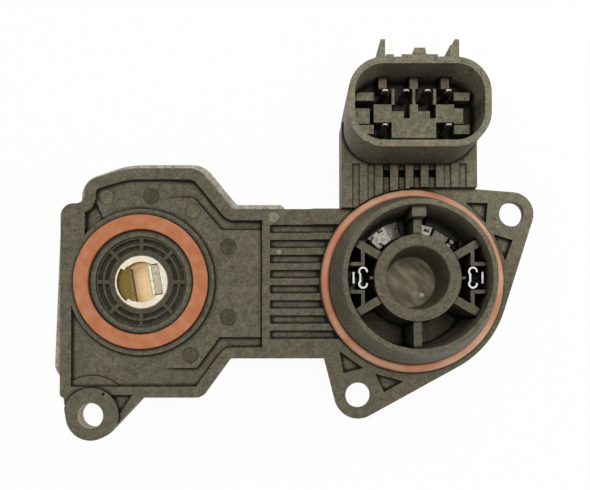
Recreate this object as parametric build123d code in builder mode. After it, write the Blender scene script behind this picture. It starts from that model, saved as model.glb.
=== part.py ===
from build123d import *
import os
from math import atan2, cos, degrees, radians, sin, tan

# Sensor and motor cover of an electronic throttle body, lying on its back with its mounting side up.
# Lengths are in millimetres. The origin is where the shaft's axis meets the plane of the mounting pads.
# +X runs from the shaft's axis to the motor's axis, and +Z points into the throttle body.

# Levels, measured from the mounting pads
back_depth = 14.0
ear_thickness = 6.0
flange_thickness = 3.0
face_drop = 1.0
plate_thickness = 4.0
socket_height = 17.0
boss_height = 12.5
spoke_height = 12.0
cup_floor_depth = 3.5
stalk_rise = 2.0
stalk_depth = 11.0
shroud_height = 22.0
shroud_floor = 5.0
block_height = 11.0
blade_tip_height = 17.0

# Places of the axes and screws
motor_x = 63.0
left_ear_x = -11.4
left_ear_y = -31.1
middle_ear_x = 50.5
middle_ear_y = -26.4
right_ear_x = 86.4
right_ear_y = 15.7
screw_hole_radius = 2.9
left_ear_radius = 5.8
middle_ear_radius = 5.45
right_ear_radius = 5.1
left_pad_radius = 6.4
web_corner = 1.0

# Face of the sensor box and bridge
box_left_x = -18.8
box_top_y = 26.6
box_bottom_y = -27.0
shoulder_x = -13.2
shoulder_y = 18.4
shoulder_corner = 3.0
notch_corner = 2.0
rise_y = 23.6
rise_corner = 3.6
top_left_x = -3.5
top_left_corner = 20.0
upper_slope_x = 13.4
upper_slope_foot_x = 21.3
upper_slope_corner = 5.0
upper_foot_corner = 1.2
lower_slope_x = 14.2
lower_slope_foot_x = 20.8
lower_slope_corner = 2.5
lower_foot_corner = 0.8
left_ear_root_x = 0.0
left_ear_root_y = -21.5
bridge_top_y = 17.0
bridge_bottom_y = -17.9
bridge_end_x = 46.0

# Relief of the face round the seal's seat
border_width = 2.56
recess_depth = 1.1
recess_end_x = 28.3
channel_depth = 1.2
channel_start_x = 5.5
channel_ramp = 4.0
plateau_start_x = 0.0
plateau_top_y = 19.8
plateau_bottom_y = -20.1
plateau_bridge_top_y = 12.2
plateau_bridge_bottom_y = -12.9
ear_shelf_radius = 9.2
ear_shelf_depth = 0.7
corner_pocket_x = -8.9
corner_pocket_y = 14.8
corner_pocket_top_x = -10.5
corner_pocket_top_y = 18.5
corner_pocket_foot_y = 10.0

# Flange round the motor socket
flange_left_x = 40.5
flange_slope = 1.4
flange_radius = 22.6
flange_top_y = 20.9
flange_foot_x = 43.1
base_inset = 1.2
pocket_depth = 1.5
pocket_near = 3.2
pocket_far = 7.4
pocket_side = 5.2
pocket_spread = 8.2
pocket_tip = 6.2
pocket_web = 1.5
left_pocket_near = 4.5
left_pocket_far = 9.5
left_pocket_top = 4.75
left_pocket_tip_x = 6.4
left_pocket_tip_y = 0.05
pin_hole_radius = 0.35
pin_hole_depth = 1.0
pin_hole_sides = 8
pin_hole_x = 2.9
pin_hole_y = 5.0

# Cored slots, at one spacing in the bridge and in the connector's stalk
core_spacing = 3.53
core_count = 8
bridge_core_width = 2.0
bridge_core_start_x = 30.1
bridge_core_depth = 1.0
core_end_gap = 0.2
stalk_core_width = 1.75
stalk_core_depth = 0.8
stalk_edge_core_depth = 0.35
stalk_hole_length = 1.8
stalk_hole_y = 24.9
stalk_hole_depth = 3.0

# Flat seal, rotor and hub, sized from the seal inwards
seal_outer_radius = 15.75
seal_width = 3.55
seal_seat_depth = 2.2
seal_stand = 0.1
seal_clearance = 0.1
seal_wall = 1.35
rotor_lip = 1.55
rotor_lip_drop = 0.3
rotor_clearance = 0.1
rotor_drop = 1.8
rotor_height = 8.5
rotor_floor = 1.0
rotor_flange_reach = 2.45
rotor_flange_thickness = 2.5
rotor_flange_gap = 0.3
rotor_boss_radius = 8.0
rotor_rim = 0.45
rotor_pocket_width = 1.0
rotor_pocket_ring = 0.6
rotor_pocket_depth = 1.5
rotor_spoke_width = 0.9
rotor_spoke_count = 8
hub_radius = 6.4
hub_stand = 0.3
hub_floor = 0.8
hub_edge = 0.3
shaft_radius = 4.75
shaft_flat_left = 2.7
shaft_flat_right = 4.5
shaft_flat_angle = 10.0
hub_relief_radius = 5.75
hub_relief_depth = 2.0
hub_relief_from = 146.0
hub_relief_to = 232.0
leaf_thickness = 0.3
leaf_width = 7.0
leaf_reach = 1.9
leaf_lip = 0.9
leaf_gap = 0.15

# Rear cover of the sensor box
cover_height = 8.0
cover_floor = 2.0
cover_wall = 1.6
cover_gap = 0.2
cover_lip = 1.65
cover_left_lip_top = 0.9
cover_left_lip_bottom = 2.3
cover_inset = 1.5
cover_end_x = 33.5
cover_left_foot_y = -20.0
cover_corner = 2.0
cover_end_corner = 0.4
cover_edge = 0.3
box_wall = 1.8

# Parts inside the sensor box
board_thickness = 0.8
board_inner_radius = 8.5
board_outer_radius = 14.6
board_tab_x = 19.4
board_margin = 0.6
wiper_thickness = 0.3
wiper_width = 1.2
wiper_outer_inset = 1.1
wiper_spacing = 2.0
wiper_foot = 2.0
wiper_reach = 4.5
wiper_gap = 0.3
disc_spring_thickness = 0.4
disc_spring_inner = 3.5
disc_spring_outer = 7.4
disc_spring_gap = 0.3

# Motor socket
socket_root_radius = 18.5
socket_pilot_step = 0.6
socket_pilot_length = 2.6
socket_rim_radius = 16.85
socket_rim_wall = 1.05
socket_draft = 0.6
socket_well_depth = 9.5
oring_section = 2.6
oring_clearance = 0.04
oring_sides = 12
boss_radius = 9.6
boss_draft = 0.3
cup_radius = 7.0
cup_seat_length = 6.0
cup_floor_radius = 5.9
cup_lead_in = 0.25
spoke_width = 1.8
spoke_count = 6
spoke_start = 30.0
key_width = 3.1
key_length = 3.0
key_height = 15.0
rib_width = 0.8
rib_web = 0.6
terminal_reach = 12.1
terminal_top = 12.4
terminal_loop_radius = 0.85
terminal_loop_spacing = 2.75
terminal_loop_sweep = 225.0
terminal_strip = 0.4
terminal_bar_offset = 2.1
terminal_bar_length = 2.5
terminal_bar_thickness = 0.4
terminal_base = 0.6
terminal_gap = 0.25

# Connector
connector_x = 62.4
connector_y = 36.7
shroud_width = 30.4
shroud_depth = 19.1
shroud_corner = 7.6
shroud_wall = 1.4
stalk_width = 31.3
stalk_foot_y = 21.75
blade_spacing = 4.63
blade_count = 4
blade_row_gap = 7.5
blade_width = 1.5
blade_thickness = 0.8
blade_taper = 0.3
well_width = 4.0
well_length = 3.5
block_cut_width = 4.0
block_cut_length = 1.55
block_cut_offset = 2.9
block_tail_width = 1.35
arm_width = 1.8
arm_gap = 1.4
low_arm_width = 2.0
low_arm_drop = 2.6
post_gap = 0.9
side_block_width = 2.0
side_block_length = 3.4
side_block_drop = 0.6
top_rib_width = 1.8
rail_width = 7.6
rail_rise = 0.5
side_rail_width = 1.6
side_rail_offset = 6.35
nose_width = 3.4
nose_angle = 78.0
nose_rise = 2.0
nose_drop = 0.3
nose_length = 5.0
fin_thickness = 0.95
fin_rise = 3.7
fin_length = 16.0
fin_offset = 7.85
fin_step_width = 1.4
fin_step_rise = 2.5

# Lead frame strips
lead_thickness = 0.8
lead_width = 1.2
lead_spacing = 1.8
lead_first_y = 8.4
lead_foot_x = 17.8
sensor_lead_depth = 3.6
motor_lead_depth = 1.2
pad_inner_radius = 10.3
pad_outer_radius = 14.5
pad_from = 104.0
pad_to = 137.0
pad_stand = 0.6
pad_link = 2.6
lead_cover = 0.3

# Levels worked out from the sizes above
face_z = -face_drop
recess_z = face_z - recess_depth
plate_z = face_z - plate_thickness
back_z = -back_depth
cover_floor_z = back_z + cover_floor
rotor_top_z = -rotor_drop
rotor_bottom_z = rotor_top_z - rotor_height
rotor_flange_z = plate_z - rotor_flange_gap
hub_top_z = rotor_top_z + hub_stand
hub_bottom_z = rotor_bottom_z + rotor_floor
seal_seat_z = face_z - seal_seat_depth
board_z = cover_floor_z + board_thickness
wiper_z = rotor_flange_z - rotor_flange_thickness
sensor_lead_z = -sensor_lead_depth
motor_lead_z = -motor_lead_depth
groove_z = oring_section + 2 * oring_clearance

# Radii and places worked out from the sizes above
seal_inner_radius = seal_outer_radius - seal_width
seal_boss_radius = seal_outer_radius + seal_wall
rotor_radius = seal_inner_radius - rotor_lip - rotor_clearance
rotor_flange_radius = rotor_radius + rotor_flange_reach
wiper_outer_radius = rotor_flange_radius - wiper_outer_inset
wiper_inner_radius = wiper_outer_radius - wiper_spacing
rotor_pocket_outer = rotor_radius - rotor_rim - rotor_pocket_width
rotor_pocket_inner = rotor_pocket_outer - rotor_pocket_ring - rotor_pocket_width
socket_wall_radius = socket_rim_radius - socket_rim_wall / 2
socket_inner_radius = socket_rim_radius - socket_rim_wall - socket_draft
core_end_radius = socket_root_radius + oring_section + 2 * oring_clearance + core_end_gap
shroud_top_y = connector_y + shroud_depth / 2
shroud_foot_y = connector_y - shroud_depth / 2
blade_upper_y = connector_y + blade_row_gap / 2
blade_lower_y = connector_y - blade_row_gap / 2
blade_span = (blade_count - 1) * blade_spacing
lead_span = (blade_count - 1) * lead_spacing
terminal_length = terminal_loop_spacing + 2 * terminal_loop_radius + terminal_strip

os.makedirs("parts", exist_ok=True)


def hull_outline(*circles):
    """Outline drawn tight round a set of circles, each given as (x, y, radius)."""
    with BuildSketch(mode=Mode.PRIVATE) as outline:
        for x, y, radius in circles:
            with Locations((x, y)):
                Circle(radius)
        make_hull()
    return outline.sketch


def ring_sector(inner, outer, start, stop):
    """Flat ring sector between two radii and two angles in degrees, less than half a turn apart."""
    reach = 2 * outer
    middle = (start + stop) / 2
    corners = [(reach * cos(radians(turn)), reach * sin(radians(turn))) for turn in (start, middle, stop)]
    with BuildSketch(mode=Mode.PRIVATE) as sector:
        Circle(outer)
        Circle(inner, mode=Mode.SUBTRACT)
        with BuildLine():
            Polyline((0, 0), *corners, close=True)
        make_face(mode=Mode.INTERSECT)
    return sector.sketch


# Outlines shared by the housing and the rear cover
with BuildSketch() as face_outline:
    with BuildLine():
        FilletPolyline(
            (box_left_x, shoulder_y),
            (shoulder_x, shoulder_y),
            (shoulder_x, rise_y),
            (top_left_x, box_top_y),
            (upper_slope_x, box_top_y),
            (upper_slope_foot_x, bridge_top_y),
            (bridge_end_x, bridge_top_y),
            (bridge_end_x, bridge_bottom_y),
            (lower_slope_foot_x, bridge_bottom_y),
            (lower_slope_x, box_bottom_y),
            (box_left_x, box_bottom_y),
            radius=[
                shoulder_corner,
                notch_corner,
                rise_corner,
                top_left_corner,
                upper_slope_corner,
                upper_foot_corner,
                0,
                0,
                lower_foot_corner,
                lower_slope_corner,
                web_corner,
            ],
            close=True,
        )
    make_face()

with BuildSketch() as cover_outline:
    with BuildLine():
        FilletPolyline(
            (box_left_x - cover_left_lip_top, shoulder_y),
            (shoulder_x - cover_lip, shoulder_y),
            (shoulder_x - cover_lip, rise_y + cover_lip / 2),
            (top_left_x, box_top_y + cover_lip),
            (upper_slope_x + cover_lip / 2, box_top_y + cover_lip),
            (upper_slope_foot_x + cover_lip / 2, bridge_top_y + cover_lip),
            (cover_end_x - cover_lip / 2, bridge_top_y + cover_lip),
            (cover_end_x, bridge_top_y + cover_lip / 2),
            (cover_end_x, bridge_bottom_y + cover_inset),
            (lower_slope_foot_x - cover_inset / 2, bridge_bottom_y + cover_inset),
            (lower_slope_x - cover_inset / 2, box_bottom_y + cover_inset),
            (box_left_x + cover_inset / 2, box_bottom_y + cover_inset),
            (box_left_x - cover_left_lip_bottom, cover_left_foot_y),
            radius=[
                cover_corner,
                notch_corner / 2,
                rise_corner + cover_lip,
                top_left_corner + cover_lip,
                upper_slope_corner + cover_lip / 2,
                upper_foot_corner,
                cover_end_corner,
                cover_end_corner,
                lower_foot_corner,
                lower_foot_corner,
                lower_slope_corner,
                cover_corner,
                shoulder_corner,
            ],
            close=True,
        )
    make_face()

with BuildSketch() as recess_outline:
    add(face_outline.sketch)
    offset(amount=-border_width, kind=Kind.INTERSECTION)
    Circle(seal_boss_radius, mode=Mode.SUBTRACT)
    with Locations((left_ear_x, left_ear_y)):
        Circle(ear_shelf_radius, mode=Mode.SUBTRACT)
    with Locations((box_left_x, shoulder_y / 2)):
        Rectangle(2 * (shoulder_x - box_left_x), shoulder_y, mode=Mode.SUBTRACT)
    with Locations((recess_end_x + bridge_end_x / 2, 0)):
        Rectangle(bridge_end_x, 2 * (box_top_y - box_bottom_y), mode=Mode.SUBTRACT)

# Tray that closes the back of the sensor box
with BuildPart() as rear_cover:
    with BuildSketch(Plane.XY.offset(back_z)):
        add(cover_outline.sketch)
    extrude(amount=cover_height)
    with BuildSketch(Plane.XY.offset(cover_floor_z)):
        add(cover_outline.sketch)
        offset(amount=-cover_wall, kind=Kind.INTERSECTION)
    extrude(amount=cover_height, mode=Mode.SUBTRACT)
    chamfer(rear_cover.faces().sort_by(Axis.Z)[0].edges(), cover_edge)
rear_cover.part.label = "rear_cover"
export_step(rear_cover.part, "parts/rear_cover.step")

# Metal sleeve in the rotor, with a flatted socket for the shaft and a slot for the leaf
with BuildPart() as shaft_hub:
    with BuildSketch(Plane.XY.offset(hub_bottom_z)):
        Circle(hub_radius)
    extrude(amount=hub_top_z - hub_bottom_z)
    chamfer(shaft_hub.faces().sort_by(Axis.Z)[-1].edges(), hub_edge)
    with BuildSketch(Plane.XY.offset(hub_bottom_z + hub_floor).rotated((0, 0, shaft_flat_angle))):
        Circle(shaft_radius)
        with Locations(((shaft_flat_right - shaft_flat_left) / 2, 0)):
            Rectangle(shaft_flat_right + shaft_flat_left, 2 * hub_radius, mode=Mode.INTERSECT)
        with Locations((shaft_flat_right / 2, 0)):
            Rectangle(shaft_flat_right, leaf_width + 2 * leaf_gap)
    extrude(amount=hub_top_z - hub_bottom_z, mode=Mode.SUBTRACT)
    with BuildSketch(Plane.XY.offset(hub_top_z)):
        add(ring_sector(shaft_flat_left / 2, hub_relief_radius, hub_relief_from, hub_relief_to))
    extrude(amount=-hub_relief_depth, mode=Mode.SUBTRACT)
shaft_hub.part.label = "shaft_hub"
export_step(shaft_hub.part, "parts/shaft_hub.step")

# Folded leaf against the socket's flat, with its lip at the mouth
leaf_plane = Plane(
    origin=(0, 0, 0),
    x_dir=(cos(radians(shaft_flat_angle)), sin(radians(shaft_flat_angle)), 0),
    z_dir=(sin(radians(shaft_flat_angle)), -cos(radians(shaft_flat_angle)), 0),
)
leaf_wall_x = shaft_flat_right - leaf_thickness / 2
leaf_foot_z = hub_bottom_z + hub_floor + leaf_thickness / 2
leaf_top_z = hub_top_z - leaf_thickness
with BuildPart() as hub_spring:
    with BuildSketch(leaf_plane):
        with BuildLine():
            FilletPolyline(
                (leaf_wall_x, leaf_top_z),
                (leaf_wall_x, leaf_foot_z),
                (leaf_wall_x - leaf_lip, leaf_foot_z),
                (leaf_wall_x - leaf_reach, leaf_top_z - leaf_lip),
                (leaf_wall_x - leaf_reach + leaf_lip, leaf_top_z),
                radius=leaf_thickness,
            )
        trace(line_width=leaf_thickness)
    extrude(amount=leaf_width / 2, both=True)
hub_spring.part.label = "hub_spring"
export_step(hub_spring.part, "parts/hub_spring.step")

# Moulded rotor that turns in the sensor box's face
with BuildPart() as rotor:
    with BuildSketch(Plane.XY.offset(rotor_bottom_z)):
        Circle(rotor_boss_radius)
    extrude(amount=rotor_height)
    with BuildSketch(Plane.XY.offset(rotor_flange_z)):
        Circle(rotor_flange_radius)
    extrude(amount=-rotor_flange_thickness)
    with BuildSketch(Plane.XY.offset(rotor_flange_z)):
        Circle(rotor_radius)
    extrude(amount=rotor_top_z - rotor_flange_z)
    with BuildSketch(Plane.XY.offset(rotor_top_z)):
        for pocket_radius in (rotor_pocket_outer, rotor_pocket_inner):
            Circle(pocket_radius + rotor_pocket_width)
            Circle(pocket_radius, mode=Mode.SUBTRACT)
        with PolarLocations(0, rotor_spoke_count // 2, angular_range=180):
            Rectangle(2 * rotor_radius, rotor_spoke_width, mode=Mode.SUBTRACT)
    extrude(amount=-rotor_pocket_depth, mode=Mode.SUBTRACT)
    with BuildSketch(Plane.XY.offset(hub_bottom_z)):
        Circle(hub_radius)
    extrude(amount=rotor_height, mode=Mode.SUBTRACT)
rotor.part.label = "rotor"
export_step(rotor.part, "parts/rotor.step")

# Flat face seal round the rotor
with BuildPart() as rotor_seal:
    with BuildSketch(Plane.XY.offset(seal_seat_z)):
        Circle(seal_outer_radius - seal_clearance)
        Circle(seal_inner_radius + seal_clearance, mode=Mode.SUBTRACT)
    extrude(amount=seal_stand - seal_seat_z)
rotor_seal.part.label = "rotor_seal"
export_step(rotor_seal.part, "parts/rotor_seal.step")

# Ring seal at the foot of the motor socket
motor_axis = Axis((motor_x, 0, 0), (0, 0, 1))
oring_centre = socket_root_radius + oring_section / 2 + oring_clearance
with BuildPart() as motor_seal:
    with BuildSketch(Plane.XZ):
        with Locations((motor_x + oring_centre, groove_z / 2)):
            RegularPolygon(oring_section / 2, oring_sides)
    revolve(axis=motor_axis)
motor_seal.part.label = "motor_seal"
export_step(motor_seal.part, "parts/motor_seal.step")

# Disc spring between the rear cover and the rotor
disc_spring_top = rotor_bottom_z - disc_spring_gap
with BuildPart() as thrust_spring:
    with BuildSketch(Plane.XZ):
        with BuildLine():
            Polyline(
                (disc_spring_inner, disc_spring_top),
                (disc_spring_outer, cover_floor_z + disc_spring_thickness),
                (disc_spring_outer, cover_floor_z),
                (disc_spring_inner, disc_spring_top - disc_spring_thickness),
                close=True,
            )
        make_face()
    revolve(axis=Axis.Z)
thrust_spring.part.label = "thrust_spring"
export_step(thrust_spring.part, "parts/thrust_spring.step")

# Carrier of the resistive tracks, with a tab under the feet of the sensor leads
with BuildPart() as sensor_board:
    with BuildSketch(Plane.XY.offset(cover_floor_z)):
        Circle(board_outer_radius)
        with Locations((board_tab_x / 2, lead_first_y + lead_span / 2)):
            Rectangle(board_tab_x, lead_span + lead_width + board_margin)
        Circle(board_inner_radius, mode=Mode.SUBTRACT)
    extrude(amount=board_thickness)
sensor_board.part.label = "sensor_board"
export_step(sensor_board.part, "parts/sensor_board.step")

# Sprung contacts under the rotor's flange, reaching down to the tracks
for wiper_name, wiper_radius in (("wiper_inner", wiper_inner_radius), ("wiper_outer", wiper_outer_radius)):
    with BuildPart() as wiper:
        with BuildSketch(Plane.YZ.offset(-wiper_radius)):
            with BuildLine():
                FilletPolyline(
                    (-wiper_foot, wiper_z - wiper_thickness / 2),
                    (0, wiper_z - wiper_thickness / 2),
                    (wiper_reach, board_z + wiper_gap + wiper_thickness),
                    (wiper_reach + wiper_foot / 2, board_z + wiper_gap + 2 * wiper_thickness),
                    radius=wiper_thickness,
                )
            trace(line_width=wiper_thickness)
        extrude(amount=wiper_width / 2, both=True)
    wiper.part.label = wiper_name
    export_step(wiper.part, f"parts/{wiper_name}.step")

# Sensor leads: a foot on the board, a strip through the bridge and a blade in the connector's upper row
lead_frame = []
for lead in range(blade_count):
    lead_y = lead_first_y + lead_span - lead * lead_spacing
    blade_x = connector_x - blade_span / 2 + lead * blade_spacing
    with BuildPart() as sensor_lead:
        with BuildSketch(Plane.XY.offset(sensor_lead_z)):
            with Locations(((lead_foot_x + blade_x) / 2, lead_y)):
                Rectangle(blade_x - lead_foot_x + lead_width, lead_width)
            with Locations((blade_x, (lead_y + blade_upper_y) / 2)):
                Rectangle(lead_width, blade_upper_y - lead_y + blade_thickness)
        extrude(amount=-lead_thickness)
        with BuildSketch(Plane.XY.offset(sensor_lead_z)):
            with Locations((lead_foot_x, lead_y)):
                Rectangle(lead_thickness, lead_width)
        extrude(amount=board_z - sensor_lead_z)
        with BuildSketch(Plane.XY.offset(sensor_lead_z - lead_thickness)):
            with Locations((blade_x, blade_upper_y)):
                Rectangle(blade_width, blade_thickness)
        extrude(amount=blade_tip_height - sensor_lead_z + lead_thickness)
        chamfer(sensor_lead.faces().sort_by(Axis.Z)[-1].edges(), blade_taper)
    sensor_lead.part.label = f"sensor_lead_{lead + 1}"
    export_step(sensor_lead.part, f"parts/sensor_lead_{lead + 1}.step")
    lead_frame.append(sensor_lead.part)

# Rolled strip of a motor terminal, seen along the motor's axis
loop_y = terminal_loop_spacing / 2
spine_x = terminal_loop_radius * cos(radians(terminal_loop_sweep))
spine_y = loop_y + terminal_loop_radius * sin(radians(terminal_loop_sweep))
with BuildSketch() as terminal_loops:
    SlotArc(CenterArc((0, loop_y), terminal_loop_radius, 0, terminal_loop_sweep), terminal_strip)
    SlotArc(CenterArc((0, -loop_y), terminal_loop_radius, 0, -terminal_loop_sweep), terminal_strip)
    with Locations((spine_x, 0)):
        Rectangle(terminal_strip, 2 * spine_y)

# Motor leads and terminals, side being -1 on the left of the motor's axis and +1 on the right
for side, side_name in ((-1, "left"), (1, "right")):
    terminal_x = motor_x + side * terminal_reach
    blade_x = connector_x + side * blade_span / 2
    pad_middle = 90 - side * ((pad_from + pad_to) / 2 - 90)
    pad_half = (pad_to - pad_from) / 2
    with BuildPart() as motor_lead:
        with BuildSketch(Plane.XY.offset(motor_lead_z)):
            with Locations((terminal_x, blade_lower_y / 2)):
                Rectangle(lead_width, blade_lower_y + lead_width)
            with Locations(((terminal_x + blade_x) / 2, blade_lower_y)):
                Rectangle(abs(terminal_x - blade_x) + lead_width, lead_width)
            with Locations((terminal_x - side * pad_link / 2, pad_outer_radius * sin(radians(pad_to)))):
                Rectangle(pad_link, lead_width)
        extrude(amount=-lead_thickness)
        with BuildSketch(Plane((motor_x, 0, motor_lead_z - lead_thickness))):
            add(ring_sector(pad_inner_radius, pad_outer_radius, pad_middle - pad_half, pad_middle + pad_half))
        extrude(amount=pad_stand - motor_lead_z + lead_thickness)
        with BuildSketch(Plane.XY.offset(motor_lead_z - lead_thickness)):
            with Locations((blade_x, blade_lower_y)):
                Rectangle(blade_width, blade_thickness)
        extrude(amount=blade_tip_height - motor_lead_z + lead_thickness)
        chamfer(motor_lead.faces().sort_by(Axis.Z)[-1].edges(), blade_taper)
    motor_lead.part.label = f"motor_lead_{side_name}"
    export_step(motor_lead.part, f"parts/motor_lead_{side_name}.step")
    lead_frame.append(motor_lead.part)

    with BuildPart() as motor_terminal:
        with BuildSketch(Plane((terminal_x, 0, motor_lead_z))):
            with Locations((side * terminal_bar_offset / 2, 0)):
                Rectangle(terminal_bar_offset + 2 * terminal_loop_radius, terminal_length)
        extrude(amount=terminal_base)
        with BuildSketch(Plane((terminal_x, 0, motor_lead_z))):
            add(terminal_loops.sketch)
            with Locations((side * terminal_bar_offset, 0)):
                Rectangle(terminal_bar_thickness, terminal_bar_length)
        extrude(amount=terminal_top - motor_lead_z)
    motor_terminal.part.label = f"motor_terminal_{side_name}"
    export_step(motor_terminal.part, f"parts/motor_terminal_{side_name}.step")

# Spokes of the motor socket and the ribs round its terminals, about the motor's axis
spoke_length = socket_wall_radius - boss_radius + boss_draft
rib_start = terminal_length / 2 + terminal_gap
rib_end = terminal_reach * tan(radians(spoke_start))
web_end = terminal_reach - terminal_loop_radius - terminal_strip - terminal_gap
with BuildSketch() as socket_ribs:
    with PolarLocations(socket_wall_radius - spoke_length / 2, spoke_count, start_angle=spoke_start):
        Rectangle(spoke_length, spoke_width)
    for side in (-1, 1):
        rib_x = side * terminal_reach
        wall_x = side * socket_wall_radius
        for half in (-1, 1):
            with Locations((rib_x, half * (rib_start + rib_end) / 2)):
                Rectangle(rib_width, rib_end - rib_start)
            with Locations(((rib_x + wall_x) / 2, half * (rib_start + rib_width / 2))):
                Rectangle(abs(wall_x - rib_x) + rib_width, rib_width)
        with Locations((side * (boss_radius + web_end - boss_draft) / 2, 0)):
            Rectangle(web_end - boss_radius + boss_draft, rib_web)

# Well between the socket's wall and the boss, less the feet of the ribs, terminals, leads and pads
terminal_room = terminal_bar_offset + 2 * (terminal_loop_radius + terminal_gap)
with BuildSketch() as socket_well:
    Circle(socket_inner_radius)
    Circle(boss_radius + boss_draft, mode=Mode.SUBTRACT)
    add(socket_ribs.sketch, mode=Mode.SUBTRACT)
    for side in (-1, 1):
        with Locations((side * (terminal_reach + terminal_bar_offset / 2), 0)):
            Rectangle(terminal_room, terminal_length, mode=Mode.SUBTRACT)
        with Locations((side * terminal_reach, socket_wall_radius / 2)):
            Rectangle(lead_width + 2 * lead_cover, socket_wall_radius, mode=Mode.SUBTRACT)
        foot_inner = pad_inner_radius - lead_cover
        foot_from = 90 - side * (pad_from - 90)
        foot_to = 90 - side * (pad_to - 90)
        add(ring_sector(foot_inner, socket_wall_radius, foot_from, foot_to), mode=Mode.SUBTRACT)

# Channel round the plateau of the box's face, running out to nothing at its left end
with BuildPart() as face_channel:
    with BuildSketch(Plane.XY.offset(recess_z)):
        add(recess_outline.sketch)
        with BuildLine():
            Polyline(
                (plateau_start_x, plateau_top_y),
                (upper_slope_x - border_width / 2, plateau_top_y),
                (upper_slope_foot_x - border_width, plateau_bridge_top_y),
                (bridge_end_x, plateau_bridge_top_y),
                (bridge_end_x, plateau_bridge_bottom_y),
                (lower_slope_foot_x - border_width, plateau_bridge_bottom_y),
                (lower_slope_x - border_width / 2, plateau_bottom_y),
                (plateau_start_x, plateau_bottom_y),
                close=True,
            )
        make_face(mode=Mode.SUBTRACT)
    extrude(amount=-channel_depth)
    with BuildSketch(Plane.XZ.offset(-box_top_y)):
        with BuildLine():
            Polyline(
                (channel_start_x, recess_z),
                (channel_start_x + channel_ramp, recess_z - channel_depth),
                (bridge_end_x, recess_z - channel_depth),
                (bridge_end_x, recess_z),
                close=True,
            )
        make_face()
    extrude(amount=box_top_y - box_bottom_y, mode=Mode.INTERSECT)

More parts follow.
